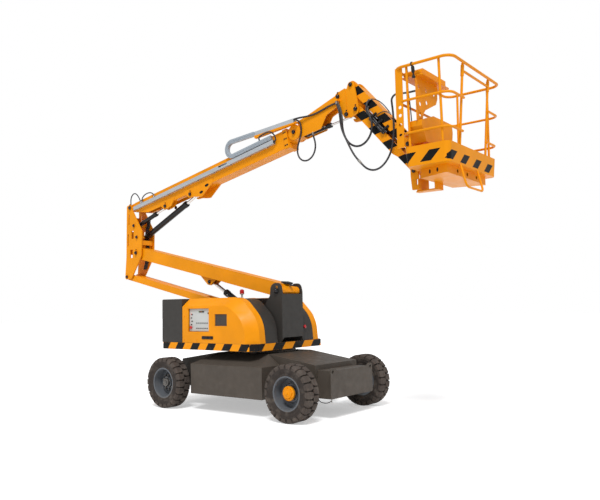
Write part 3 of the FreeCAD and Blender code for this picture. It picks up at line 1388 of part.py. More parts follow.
def make_hoses():
    """Hoses that hang free, and those that the booms hold all the way."""
    large, thin = size("hose_radius"), size("thin_hose_radius")
    make_hose("boom_hoses", (from_boom(HUMP_ROUTE),), thin + 1)
    make_hose("hose_knuckle", (from_boom(KNUCKLE_ROUTE), from_boom(ARCH_ROUTE)), thin)
    make_hose("nose_hoses", (from_boom(NOSE_ROUTE),), large - 1)
    make_hose("hose_nose", (from_boom(LOOP_ROUTE),), thin + 2)
    make_hose("jib_hoses", [from_arm("arm_low", route) for route in ARM_ROUTES], thin - 2)
    make_hose("hose_jib", (from_head(JIB_ROUTE),), large)
    make_hose("hose_sling", (from_head(SLING_ROUTE),), large - 1)
    make_hose("hose_basket", (from_head(BASKET_ROUTE),), large - 1)
    make_hose("hose_console", (from_head(CONSOLE_ROUTE),), large - 1)


def build():
    """Make every piece, in the order in which the machine stands up."""
    make_chassis()
    make_bumpers()
    make_axle_beams()
    for name, axle, side in WHEELS:
        make_tyre(name, axle, side)
        make_rim(name, axle, side)
        if axle > 0:
            make_hub_cover(name, axle, side)
        else:
            make_steer_knuckle(name, side)
    make_turntable()
    make_tower()
    make_counterweight()
    for name, side in (("near", -1), ("far", 1)):
        make_hood(name, side)
    make_cowls()
    make_inside_blocks()
    make_control_panel()
    make_beacon()
    make_lower_boom()
    make_link()
    make_knuckle()
    make_upper_boom()
    make_boom_tray()
    make_drag_chain()
    make_fly()
    make_fly_tray()
    make_head()
    length = size("jib_length")
    make_jib_arm("jib_arm_top", "arm_top", 1, length - 480, False)
    make_jib_arm("jib_arm_low", "arm_low", -1, length - 400, True)
    make_jib_end()
    for name, (foot, head) in cylinder_ends().items():
        make_cylinder(name, foot, head)
    tray = make_basket_floor()
    document.recompute()
    make_basket_rails(tray)
    make_gate()
    make_cradle()
    make_console()
    make_hoses()


def cylinder_ends():
    """Foot and head of each cylinder in the machine frame, by name."""
    pins = knuckle_points()
    tower = (size("tower_pin_x"), size("tower_pin_z"))
    eye = polar(polar(tower, size("riser_eye_along"), 180 - size("riser_angle")),
                size("riser_eye_drop"), -90 - size("riser_angle"))
    return {
        "riser": ((size("riser_pin_x"), size("riser_pin_z")), eye),
        "level": (pins["level"], boom_point(size("level_eye_along"), -size("level_eye_drop"))),
        "lift": (pins["lift"], boom_point(size("lift_eye_along"), -size("lift_eye_drop"))),
        "slave": (boom_point(SLAVE_ALONG, SLAVE_ACROSS), head_point("slave")),
        "jib": (head_point("arm_low"), jib_point("arm_top")),
    }


def check_and_write():
    """Stop on any failed object, then write one file per piece."""
    document.recompute()
    for item in document.Objects:
        if {"Invalid", "Error"} & set(item.State):
            raise RuntimeError("%s is %s" % (item.Label, item.State))
    os.makedirs(PARTS_FOLDER, exist_ok=True)
    for piece in pieces:
        shape = piece.Shape
        if shape.isNull() or not shape.isValid() or not shape.Solids:
            raise RuntimeError("%s has no valid solid" % piece.Label)
        shape.exportStep(os.path.join(PARTS_FOLDER, piece.Label + ".step"))
    print("%d pieces written" % len(pieces))


build()
check_and_write()
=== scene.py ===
"""Articulating boom lift: paint, road tread, fasteners, fittings and hoses around the solids.

Metres, in the row frame: +X towards the basket, +Y to the far side, +Z up.
"""
import json
import math

import bmesh
import bpy
from mathutils import Euler, Matrix, Vector


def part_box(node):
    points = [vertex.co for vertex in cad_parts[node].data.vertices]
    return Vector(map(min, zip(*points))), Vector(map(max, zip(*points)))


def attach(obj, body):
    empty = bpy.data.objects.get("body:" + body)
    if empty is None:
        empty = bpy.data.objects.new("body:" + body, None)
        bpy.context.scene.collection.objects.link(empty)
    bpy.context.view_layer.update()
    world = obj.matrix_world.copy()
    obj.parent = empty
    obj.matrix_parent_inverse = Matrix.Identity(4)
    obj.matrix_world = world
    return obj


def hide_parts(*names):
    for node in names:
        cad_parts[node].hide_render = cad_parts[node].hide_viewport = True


bl_info = {
    "name": "Articulating Boom Lift",
    "version": (1, 0, 0),
    "blender": (4, 5, 0),
    "location": "View3D > Sidebar > Boom Lift",
    "description": "Builds the visible pieces of an articulating boom lift around its solids",
    "category": "Object",
}

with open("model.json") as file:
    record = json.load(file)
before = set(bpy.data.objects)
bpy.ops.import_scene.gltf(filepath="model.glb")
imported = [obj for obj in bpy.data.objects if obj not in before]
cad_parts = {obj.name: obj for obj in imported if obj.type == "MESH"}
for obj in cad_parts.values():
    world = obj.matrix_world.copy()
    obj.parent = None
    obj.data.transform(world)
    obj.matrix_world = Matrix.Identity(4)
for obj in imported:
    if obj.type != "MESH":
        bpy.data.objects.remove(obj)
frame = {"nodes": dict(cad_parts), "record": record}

UP = Vector((0.0, 0.0, 1.0))
NEAR = Vector((0.0, -1.0, 0.0))
FAR = Vector((0.0, 1.0, 0.0))
FRONT = Vector((1.0, 0.0, 0.0))

# Pins of the arms in the side view, and the lines of the upper boom and the jib.
TOWER_PIN = Vector((0.282, 0.0, 1.567))
RISER_END = Vector((-2.8145, 0.0, 2.2819))
KNEE = Vector((-2.98055, 0.0, 3.04689))
ARM_TOP = Vector((1.48019, 0.0, 4.12415))
ARM_LOW = Vector((1.54619, 0.0, 3.79715))
BOOM_ANGLE = math.radians(10.9)
JIB_ANGLE = math.radians(49.0)
BOOM_LINE = Vector((math.cos(BOOM_ANGLE), 0.0, math.sin(BOOM_ANGLE)))
BOOM_UP = Vector((-BOOM_LINE.z, 0.0, BOOM_LINE.x))
JIB_LINE = Vector((math.cos(JIB_ANGLE), 0.0, -math.sin(JIB_ANGLE)))
JIB_UP = Vector((-JIB_LINE.z, 0.0, JIB_LINE.x))

# Wheels: name, centre and side.
TRACK = 0.795
AXLE_HEIGHT = 0.344
WHEELS = tuple((end + "_" + flank, Vector((x, side * TRACK, AXLE_HEIGHT)), side)
               for end, x in (("drive", 0.972), ("steer", -1.228))
               for flank, side in (("near", -1), ("far", 1)))

# Looks: slot in the record, colour or paint, roughness, metal, dust, and what else differs.
LOOKS = {
    "boom_orange": ("boom_orange", "boom", 0.36, 0.0, 0.03, {"gloss": 0.16}),
    "chassis_grey": ("chassis_grey", "chassis", 0.5, 0.0, 0.07),
    "dark_steel": ("dark_steel", "table", 0.45, 0.0, 0.05),
    "tyre_rubber": ("tyre_rubber", "tyre", 0.85, 0.0, 0.3, {"grain": 90.0, "relief": 0.4}),
    "tyre_worn": ("tyre_rubber", "tyre", 0.9, 0.0, 0.3, {"paler": 1.9, "grain": 90.0, "relief": 0.4}),
    "rim_grey": ("rim_grey", "rim", 0.42, 0.1, 0.25),
    "panel_grey": ("panel_grey", "panel", 0.45, 0.0, 0.05),
    "beacon_red": ("beacon_red", "beacon", 0.15, 0.0, 0.0, {"coat": 0.5}),
    "battery_grey": ("battery_grey", (0.035, 0.035, 0.037), 0.6, 0.0, 0.1),
    "cylinder_black": ("cylinder_black", "barrel", 0.28, 0.0, 0.02),
    "rod_chrome": ("rod_chrome", (0.75, 0.74, 0.72), 0.14, 1.0, 0.0, {"grain": 900.0, "relief": 0.02}),
    "tray_silver": ("tray_silver", "tray", 0.35, 0.55, 0.05, {"streak": (0.3, 1.0, 6.0)}),
    "hose_rubber": ("hose_rubber", "hose"),
    "sleeve_grey": ("hose_rubber", (0.09, 0.09, 0.095), 0.6, 0.0, 0.05),
    "chain_zinc": ("hose_rubber", "chain", 0.42, 0.25, 0.05),
    "chain_dark": ("tray_silver", (0.03, 0.03, 0.032), 0.5, 0.1, 0.05),
    "fitting_steel": ("rod_chrome", (0.3, 0.29, 0.27), 0.35, 0.9, 0.05),
    "nut_steel": ("dark_steel", (0.16, 0.15, 0.14), 0.4, 0.7, 0.1),
    "pin_dark": ("dark_steel", (0.025, 0.025, 0.028), 0.2, 0.5, 0.0, {"gloss": 0.6}),
    "moulded_black": ("dark_steel", (0.012, 0.012, 0.013), 0.5, 0.0, 0.02),
    # Near-black of painted shade, for flat sheets where holes and slots are.
    "recess_dark": ("dark_steel", (0.006, 0.005, 0.004), 0.8, 0.0, 0.1),
    "vent_grey": ("dark_steel", (0.19, 0.16, 0.14), 0.6, 0.1, 0.05),
    "lever_pale": ("panel_grey", (0.6, 0.6, 0.58), 0.35, 0.1, 0.02),
    "lamp_base": ("panel_grey", (0.5, 0.5, 0.48), 0.4, 0.1, 0.05),
    "lamp_1": ("panel_grey", (0.02, 0.4, 0.05), 0.25, 0.0, 0.1),
    "lamp_2": ("panel_grey", (0.5, 0.02, 0.02), 0.25, 0.0, 0.1),
    "lamp_3": ("panel_grey", (0.55, 0.25, 0.02), 0.25, 0.0, 0.1),
    "button_red": ("beacon_red", (0.6, 0.008, 0.01), 0.25, 0.0, 0.0, {"coat": 0.3}),
}
ROAD_DUST = (0.24, 0.2, 0.165)
SCUFFED_PAINT = (0.16, 0.13, 0.11)


def colour_property(name, text, default):
    """A paint colour that the user can change."""
    return bpy.props.FloatVectorProperty(
        name=name, description=text, default=default, size=3, min=0.0, max=1.0, subtype="COLOR")


def length_property(name, text, default):
    """A size in metres that the user can change."""
    return bpy.props.FloatProperty(
        name=name, description=text, default=default, min=0.0, subtype="DISTANCE", unit="LENGTH")


def angle_property(name, text, default):
    """An angle of the camera that the user can change."""
    return bpy.props.FloatProperty(
        name=name, description=text, default=default, subtype="ANGLE", unit="ROTATION")


class LiftPaints(bpy.types.PropertyGroup):
    """Colours of the paints, rubber and plastics."""
    boom: colour_property("Boom paint", "Gloss paint of the arms, hoods and basket",
                          (0.93, 0.325, 0.002))
    chassis: colour_property("Chassis paint", "Satin paint of the chassis", (0.078, 0.063, 0.05))
    table: colour_property("Turntable paint", "Satin paint of the turntable and tower",
                           (0.04, 0.036, 0.032))
    tyre: colour_property("Tyre", "Solid tyre rubber with road dust", (0.042, 0.033, 0.028))
    rim: colour_property("Wheel", "Satin paint of the wheels", (0.125, 0.135, 0.15))
    panel: colour_property("Panel", "Face of the ground control panel", (0.58, 0.59, 0.57))
    beacon: colour_property("Beacon", "Lens of the warning lamp", (0.5, 0.004, 0.01))
    warning: colour_property("Warning stripes", "Dark part of the hazard stripes",
                             (0.006, 0.006, 0.006))
    hose: colour_property("Hose", "Rubber of hoses and drag chain", (0.014, 0.014, 0.016))
    barrel: colour_property("Cylinder", "Paint of the cylinder barrels", (0.007, 0.007, 0.007))
    chain: colour_property("Drag chain", "Zinc-coated links of the drag chain", (0.42, 0.47, 0.52))
    tray: colour_property("Cable tray", "Aluminium of the cable trays", (0.62, 0.65, 0.68))


class LiftSizes(bpy.types.PropertyGroup):
    """Sizes of treads, fasteners, fittings and stripes."""
    lug_height: length_property("Lug height", "Height of the tread lugs", 0.027)
    lug_count: bpy.props.IntProperty(name="Lugs", description="Lugs round one side of a tyre",
                                     default=22, min=8, max=60)
    bolt: length_property("Bolt", "Width across a bolt's head", 0.019)
    wheel_nut: length_property("Wheel nut", "Width across a wheel nut", 0.024)
    pin_cap: length_property("Pin cap", "Radius of the dark caps on the arm pins", 0.03)
    stripe: length_property("Stripe", "Width of a dark stripe on arms and basket", 0.13)
    vent_slot: length_property("Vent slot", "Pitch of the vent's slats", 0.0125)


class LiftStage(bpy.types.PropertyGroup):
    """Camera and light."""
    focal: bpy.props.FloatProperty(name="Lens", description="Focal length", default=38.511, min=1.0)
    place: bpy.props.FloatVectorProperty(
        name="Camera", description="Camera place in the row frame",
        default=(5.837, -6.716, 1.369), subtype="TRANSLATION", unit="LENGTH")
    yaw: angle_property("Yaw", "Turn of the view from +Y towards -X", math.radians(38.39))
    pitch: angle_property("Pitch", "View above level", math.radians(4.93))
    roll: angle_property("Roll", "Roll of the view", -0.0193)
    sky: bpy.props.FloatProperty(name="Sky", description="Strength of the even light",
                                 default=0.55, min=0.0)
    sun: bpy.props.FloatProperty(name="Sun", description="Strength of the key light",
                                 default=2.2, min=0.0)


def flat(colour):
    """A colour with full cover."""
    return (*colour, 1.0)


class Shading:
    """Adds nodes to one material around its Principled shader."""

    def __init__(self, name):
        self.material = bpy.data.materials.new(name)
        self.material.use_nodes = True
        self.nodes = self.material.node_tree.nodes
        self.inputs = self.nodes["Principled BSDF"].inputs
        self.coords = self.add("ShaderNodeTexCoord")

    def add(self, kind, values=None, **settings):
        """A node with its settings, and a value or a link on each named input."""
        node = self.nodes.new(kind)
        for key, setting in settings.items():
            setattr(node, key, setting)
        for key, value in (values or {}).items():
            self.put(node.inputs[key], value)
        return node

    def put(self, socket, value):
        """A value or a link on a socket, or on the shader's input of that name."""
        if isinstance(socket, str):
            socket = self.inputs[socket]
        if isinstance(value, bpy.types.NodeSocket):
            self.material.node_tree.links.new(value, socket)
        else:
            socket.default_value = value

    def math(self, operation, *values):
        return self.add("ShaderNodeMath", dict(enumerate(values)), operation=operation).outputs[0]

    def dot(self, direction, source="Object"):
        values = {0: self.coords.outputs[source], 1: direction}
        return self.add("ShaderNodeVectorMath", values, operation="DOT_PRODUCT").outputs["Value"]

    def noise(self, scale, detail=3.0, stretch=None):
        place = self.coords.outputs["Object"]
        if stretch is not None:
            place = self.add("ShaderNodeMapping", {"Vector": place, "Scale": stretch}).outputs["Vector"]
        values = {"Vector": place, "Scale": scale, "Detail": detail}
        return self.add("ShaderNodeTexNoise", values).outputs["Fac"]

    def spread(self, value, low, high, to_low=0.0, to_high=1.0):
        values = {"Value": value, "From Min": low, "From Max": high, "To Min": to_low,
                  "To Max": to_high}
        return self.add("ShaderNodeMapRange", values).outputs["Result"]

    def mix(self, factor, first, second):
        values = {0: factor, 6: first, 7: second}
        return self.add("ShaderNodeMix", values, data_type="RGBA").outputs[2]

    def within(self, direction, low, high):
        value = self.dot(direction)
        return self.math("MULTIPLY", self.math("GREATER_THAN", value, low),
                         self.math("LESS_THAN", value, high))

    def bump(self, height, strength, distance):
        values = {"Height": height, "Strength": strength, "Distance": distance}
        self.put("Normal", self.add("ShaderNodeBump", values).outputs["Normal"])

    def cloudy(self, colour, deep, streak=None):
        """The colour with clouds that are darker by the factor deep."""
        cloud = self.spread(self.noise(2.6, 4.0, streak), 0.32, 0.72)
        return self.mix(cloud, flat([channel * deep for channel in colour]), flat(colour))

    def done(self, colour, tint, rough, gloss, grain=300.0, relief=0.05):
        """The material with its tint, an uneven roughness and a fine relief."""
        smudge = self.noise(14.0, 5.0)
        self.put("Base Color", tint)
        self.put("Roughness", self.spread(smudge, 0.3, 0.7, rough * 0.85, min(1.0, rough * 1.25)))
        self.put("Specular IOR Level", gloss)
        self.bump(self.noise(grain, 2.0), relief, 0.0015)
        self.material.diffuse_color = flat(colour)
        return self.material


def finish(name, colour, rough, metal, dust, paler=1.0, grain=300.0, relief=0.05, coat=0.0,
           streak=None, gloss=0.3):
    """A painted, moulded or metal finish: cloudy colour, dust from below, and fine relief."""
    colour = tuple(channel * paler for channel in colour)
    shade = Shading(name)
    low = shade.spread(shade.dot(UP), 0.0, 1.1, 1.0, 0.15)
    spots = shade.spread(shade.noise(9.0, 6.0, streak), 0.5, 0.85)
    soil = shade.math("MULTIPLY", shade.math("MULTIPLY", low, spots), dust * 2.2)
    tint = shade.mix(soil, shade.cloudy(colour, 0.86, streak), flat(ROAD_DUST))
    for key, value in (("Metallic", metal), ("Coat Weight", coat), ("Coat Roughness", 0.15)):
        shade.put(key, value)
    return shade.done(colour, tint, rough, gloss, grain, relief)


def rubber(name, colour):
    """Hose rubber with a soft sheen and the faint wrap marks of its cover."""
    shade = Shading(name)
    cloud = shade.spread(shade.noise(7.0, 4.0), 0.35, 0.7)
    pale = tuple(channel * 2.0 + 0.004 for channel in colour)
    shade.put("Base Color", shade.mix(cloud, flat(colour), flat(pale)))
    shade.put("Roughness", shade.spread(shade.noise(30.0, 3.0), 0.3, 0.7, 0.34, 0.52))
    values = {"Vector": shade.coords.outputs["Object"], "Scale": 220.0, "Distortion": 1.5}
    weave = shade.add("ShaderNodeTexWave", values, wave_type="BANDS", bands_direction="DIAGONAL")
    shade.bump(weave.outputs["Fac"], 0.12, 0.0008)
    shade.material.diffuse_color = flat(colour)
    return shade.material


def look(name):
    """The material of a row of LOOKS, made when it is first asked for."""
    found = bpy.data.materials.get("lift_" + name)
    if found is not None:
        return found
    _, colour, *settings = LOOKS[name]
    if isinstance(colour, str):
        colour = tuple(getattr(bpy.context.scene.lift_paints, colour))
    if not settings:
        return rubber("lift_" + name, colour)
    rough, metal, dust, *more = settings
    return finish("lift_" + name, colour, rough, metal, dust, **(more[0] if more else {}))


def striped(name, base, rows, rough=0.35, ground=None):
    """Paint with hazard stripes, over a ground of another colour where one is given.

    A row has the stripes' run, start, pitch and width, the face that they are on, whether the
    back of it has them too, how square to it a surface has to be, and the limits of the field.
    """
    shade = Shading(name)
    tint = shade.cloudy(base, 0.88)
    if ground is not None:
        colour, limits = ground
        tint = shade.mix(shade.within(*limits), tint, flat(colour))
    total = 0.0
    for along, start, pitch, width, face, both, square, limits in rows:
        run = shade.math("ADD", shade.dot(along), -start)
        part = shade.math("FRACT", shade.math("DIVIDE", run, pitch))
        facing = shade.dot(face, "Normal")
        if both:
            facing = shade.math("ABSOLUTE", facing)
        mark = shade.math("LESS_THAN", part, width / pitch)
        mark = shade.math("MULTIPLY", mark, shade.math("GREATER_THAN", facing, square))
        mark = shade.math("MULTIPLY", mark, shade.within(*limits))
        total = shade.math("MAXIMUM", total, mark)
    tint = shade.mix(total, tint, flat(bpy.context.scene.lift_paints.warning))
    scuff = shade.spread(shade.noise(38.0, 6.0, (1.0, 1.0, 2.0)), 0.63, 0.75, 0.0, 0.35)
    tint = shade.mix(shade.math("MULTIPLY", scuff, total), tint, flat(SCUFFED_PAINT))
    return shade.done(base, tint, rough, LOOKS["boom_orange"][-1]["gloss"])


def added(name, data):
    """A new object of the data in the scene."""
    item = bpy.data.objects.new(name, data)
    bpy.context.scene.collection.objects.link(item)
    return item


def dressed(piece, body, smooth=35.0):
    """Smooth the piece but for edges sharper than the angle, and let it ride on its body."""
    piece.data.shade_smooth()
    piece.data.set_sharp_from_angle(angle=math.radians(smooth))
    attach(piece, body)
    return piece


def spokes(count, start=0.0):
    """Angles round the Y axis, each with its unit vector."""
    for i in range(count):
        angle = 2 * math.pi * i / count + start
        yield angle, Vector((math.cos(angle), 0.0, math.sin(angle)))


def straight(first, last, steps):
    """Points at equal distances on a straight line."""
    return [first.lerp(last, i / steps) for i in range(steps + 1)]


def slab(window, side, inner, outer):
    """Centre and size of a box in one side: x and z limits, distances from the middle plane."""
    x0, x1, z0, z1 = window
    return (((x0 + x1) / 2, side * (inner + outer) / 2, (z0 + z1) / 2),
            (x1 - x0, outer - inner, z1 - z0))


class Maker:
    """Collects bevelled blocks, plates and turned shapes in one mesh."""

    def __init__(self):
        self.mesh = bmesh.new()

    def block(self, centre, size, turn=(0.0, 0.0, 0.0), bevel=0.002):
        """A box with rounded edges, turned about its centre."""
        made = bmesh.ops.create_cube(self.mesh, size=1.0)["verts"]
        spin = Euler(turn).to_matrix().to_4x4()
        place = Matrix.Translation(Vector(centre)) @ spin @ Matrix.Diagonal((*size, 1.0))
        bmesh.ops.transform(self.mesh, matrix=place, verts=made)
        if bevel:
            edges = list({edge for vert in made for edge in vert.link_edges})
            bmesh.ops.bevel(self.mesh, geom=edges, offset=min(bevel, min(size) * 0.3), segments=2,
                            affect="EDGES", profile=0.7)

    def oval(self, centre, along, up, normal, depth, steps=24):
        """An oval plate: its half axes as vectors, pushed out along the normal."""
        verts = [self.mesh.verts.new(centre + along * spoke.x + up * spoke.z)
                 for _, spoke in spokes(steps)]
        face = self.mesh.faces.new(verts)
        grown = bmesh.ops.extrude_face_region(self.mesh, geom=[face])["geom"]
        moved = [item for item in grown if isinstance(item, bmesh.types.BMVert)]
        bmesh.ops.translate(self.mesh, verts=moved, vec=normal.normalized() * depth)

    def turned(self, centre, axis, profile, count=32):
        """A turned shape: radius and height pairs along the axis; it closes at radius 0."""
        spin = UP.rotation_difference(Vector(axis)).to_matrix().to_4x4()
        place = Matrix.Translation(Vector(centre)) @ spin
        rings = []
        for radius, height in profile:
            steps = count if radius > 0.0 else 1
            rings.append([self.mesh.verts.new(place @ Vector((radius * spoke.x, radius * spoke.z, height)))
                          for _, spoke in spokes(steps)])
        for low, high in zip(rings, rings[1:]):
            for i in range(count):
                j = (i + 1) % count
                corners = (low[i % len(low)], low[j % len(low)], high[j % len(high)],
                           high[i % len(high)])
                kept = list(dict.fromkeys(corners))
                if len(kept) > 2:
                    self.mesh.faces.new(kept)

    def tube(self, points, radius, count=12):
        """A round bar through the points, with closed ends."""
        points = [Vector(point) for point in points]
        rings = []
        side = None
        for i, point in enumerate(points):
            ahead = (points[min(i + 1, len(points) - 1)] - points[max(i - 1, 0)]).normalized()
            if side is None:
                side = ahead.orthogonal().normalized()
            side = (side - ahead * side.dot(ahead)).normalized()
            over = ahead.cross(side)
            rings.append([self.mesh.verts.new(point + radius * (side * spoke.x + over * spoke.z))
                          for _, spoke in spokes(count)])
        for low, high in zip(rings, rings[1:]):
            for k in range(count):
                self.mesh.faces.new((low[k], low[(k + 1) % count], high[(k + 1) % count], high[k]))
        self.mesh.faces.new(rings[0])
        self.mesh.faces.new(rings[-1])

    def data(self, name):
        """The mesh as object data, with its faces outward."""
        bmesh.ops.remove_doubles(self.mesh, verts=self.mesh.verts, dist=1e-6)
        bmesh.ops.recalc_face_normals(self.mesh, faces=self.mesh.faces)
        data = bpy.data.meshes.new(name)
        self.mesh.to_mesh(data)
        self.mesh.free()
        return data

    def done(self, name, look_name, body):
        """The finished piece on its body."""
        piece = added(name, self.data(name))
        piece.data.materials.append(look(look_name))
        return dressed(piece, body)


def repeat_tree():
    """Geometry Nodes: one piece on each point, turned and sized by the points' attributes."""
    found = bpy.data.node_groups.get("Repeat on points")
    if found is not None:
        return found
    tree = bpy.data.node_groups.new("Repeat on points", "GeometryNodeTree")
    for name, way, kind in (("Points", "INPUT", "Geometry"), ("Piece", "INPUT", "Object"),
                            ("Material", "INPUT", "Material"), ("Scale", "INPUT", "Float"),
                            ("Result", "OUTPUT", "Geometry")):
        tree.interface.new_socket(name, in_out=way, socket_type="NodeSocket" + kind)
    kinds = {"start": "NodeGroupInput", "stop": "NodeGroupOutput",
             "shape": "GeometryNodeObjectInfo", "turn": "GeometryNodeInputNamedAttribute",
             "size": "GeometryNodeInputNamedAttribute", "grow": "ShaderNodeVectorMath",
             "euler": "FunctionNodeEulerToRotation", "place": "GeometryNodeInstanceOnPoints",
             "real": "GeometryNodeRealizeInstances", "paint": "GeometryNodeSetMaterial"}
    nodes = {key: tree.nodes.new(kind) for key, kind in kinds.items()}
    nodes["grow"].operation = "SCALE"
    for key in ("turn", "size"):
        nodes[key].data_type = "FLOAT_VECTOR"
        nodes[key].inputs["Name"].default_value = key
    for first, output, last, socket in (
            ("start", "Points", "place", "Points"), ("start", "Piece", "shape", "Object"),
            ("shape", "Geometry", "place", "Instance"), ("turn", "Attribute", "euler", "Euler"),
            ("euler", "Rotation", "place", "Rotation"), ("size", "Attribute", "grow", 0),
            ("start", "Scale", "grow", "Scale"), ("grow", "Vector", "place", "Scale"),
            ("place", "Instances", "real", "Geometry"), ("real", "Geometry", "paint", "Geometry"),
            ("start", "Material", "paint", "Material"), ("paint", "Geometry", "stop", "Result")):
        tree.links.new(nodes[first].outputs[output], nodes[last].inputs[socket])
    return tree


def pattern(build):
    """A small shape that is repeated; it isn't shown itself."""
    found = bpy.data.objects.get(build.__name__)
    if found is not None:
        return found
    maker = Maker()
    build(maker)
    return bpy.data.objects.new(build.__name__, maker.data(build.__name__))


def repeated(name, build, rows, look_name, body, scale=1.0, smooth=35.0):
    """Copies of a small shape as one plain mesh; a row has a place, a turn and maybe a size."""
    points = bpy.data.meshes.new(name + "_points")
    points.from_pydata([tuple(row[0]) for row in rows], [], [])
    turn = points.attributes.new("turn", "FLOAT_VECTOR", "POINT")
    size = points.attributes.new("size", "FLOAT_VECTOR", "POINT")
    for index, (_, angles, *factors) in enumerate(rows):
        turn.data[index].vector = tuple(angles)
        size.data[index].vector = factors[0] if factors else (1.0, 1.0, 1.0)
    carrier = added(name, points)
    modifier = carrier.modifiers.new("Repeat", "NODES")
    modifier.node_group = repeat_tree()
    sockets = {item.name: item.identifier for item in modifier.node_group.interface.items_tree
               if item.in_out == "INPUT"}
    modifier[sockets["Piece"]] = pattern(build)
    modifier[sockets["Material"]] = look(look_name)
    modifier[sockets["Scale"]] = scale
    graph = bpy.context.evaluated_depsgraph_get()
    made = bpy.data.meshes.new_from_object(carrier.evaluated_get(graph), depsgraph=graph)
    carrier.modifiers.remove(modifier)
    carrier.data = made
    made.name = name
    if not made.polygons:
        raise RuntimeError(name + " came out empty")
    if not made.materials:
        made.materials.append(look(look_name))
    return dressed(carrier, body, smooth)


def aim(direction, roll=0.0):
    """Angles that turn +Z to the direction, after a roll about it."""
    spin = UP.rotation_difference(Vector(direction)).to_matrix()
    return (spin @ Matrix.Rotation(roll, 3, "Z")).to_euler()


def bolt_circle(centre, out, count, radius, height, start=0.0):
    """Places and turns of fasteners round a wheel's axis, at a height along it."""
    return [(centre + spoke * radius + out * height, aim(out, angle))
            for angle, spoke in spokes(count, start)]


def hex_bolt(maker):
    """Hexagon head on a washer, 1 wide across its flats, standing on its seat."""
    maker.turned((0, 0, 0), UP, ((0.0, 0.0), (0.72, 0.0), (0.72, 0.1), (0.0, 0.1)), 16)
    maker.turned((0, 0, 0), UP, ((0.0, 0.08), (0.577, 0.08), (0.577, 0.58), (0.48, 0.68),
                                 (0.0, 0.68)), 6)


def wheel_nut(maker):
    """Hexagon nut on its cone with the stud's end."""
    maker.turned((0, 0, 0), UP, ((0.0, 0.0), (0.7, 0.0), (0.62, 0.16), (0.0, 0.16)), 16)
    maker.turned((0, 0, 0), UP, ((0.0, 0.1), (0.577, 0.1), (0.577, 0.82), (0.48, 0.92),
                                 (0.0, 0.92)), 6)
    maker.turned((0, 0, 0), UP, ((0.0, 0.8), (0.3, 0.8), (0.3, 1.15), (0.24, 1.22), (0.0, 1.22)), 10)


def pin_cap(maker):
    """Domed pin end in its retaining ring, of radius 1."""
    maker.turned((0, 0, 0), UP, (
        (0.0, 0.0), (1.0, 0.0), (1.0, 0.2), (0.93, 0.3), (0.86, 0.3), (0.84, 0.2), (0.8, 0.2),
        (0.78, 0.5), (0.66, 0.7), (0.4, 0.82), (0.0, 0.86)), 24)


def vent_slat(maker):
    """A leaning slat, 1 m long."""
    maker.block((0, 0, 0), (1.0, 0.012, 0.0022), (0.6, 0.0, 0.0), 0.0006)


def chain_link(maker):
    """Side plate of one link of the drag chain."""
    maker.block((0, 0, 0), (0.041, 0.038, 0.0035), bevel=0.004)


def rivet(maker):
    """Domed rivet of radius 1."""
    maker.turned((0, 0, 0), UP, ((0.0, 0.0), (1.0, 0.0), (0.9, 0.35), (0.5, 0.55), (0.0, 0.6)), 12)


def tyre_lug(maker):
    """One tread block: x round the wheel, y to the tyre's outer side, z away from the axle."""
    top = ((-0.024, 0.003), (0.026, 0.003), (0.041, 0.045), (0.043, 0.088), (-0.038, 0.088),
           (-0.038, 0.045))
    foot = -0.03
    low = [(x * 1.12, y - 0.003 if y < 0.01 else y + 0.004) for x, y in top]
    upper = [maker.mesh.verts.new((x, y, 0.0)) for x, y in top]
    lower = [maker.mesh.verts.new((x, y, foot)) for x, y in low]
    maker.mesh.faces.new(upper)
    maker.mesh.faces.new(lower)
    for i in range(len(top)):
        j = (i + 1) % len(top)
        maker.mesh.faces.new((lower[i], lower[j], upper[j], upper[i]))
    a, b, c, d, e, f, g, h = [maker.mesh.verts.new(corner) for corner in (
        (0.043, 0.0885, -0.001), (-0.038, 0.0885, -0.001), (-0.033, 0.1085, -0.02),
        (0.038, 0.1085, -0.02), (0.029, 0.1095, -0.052), (-0.024, 0.1095, -0.052),
        (-0.024, 0.088, -0.06), (0.029, 0.088, -0.06))]
    for face in ((a, b, c, d), (d, c, f, e), (e, f, g, h), (a, d, e, h), (b, g, f, c), (a, h, g, b)):
        maker.mesh.faces.new(face)


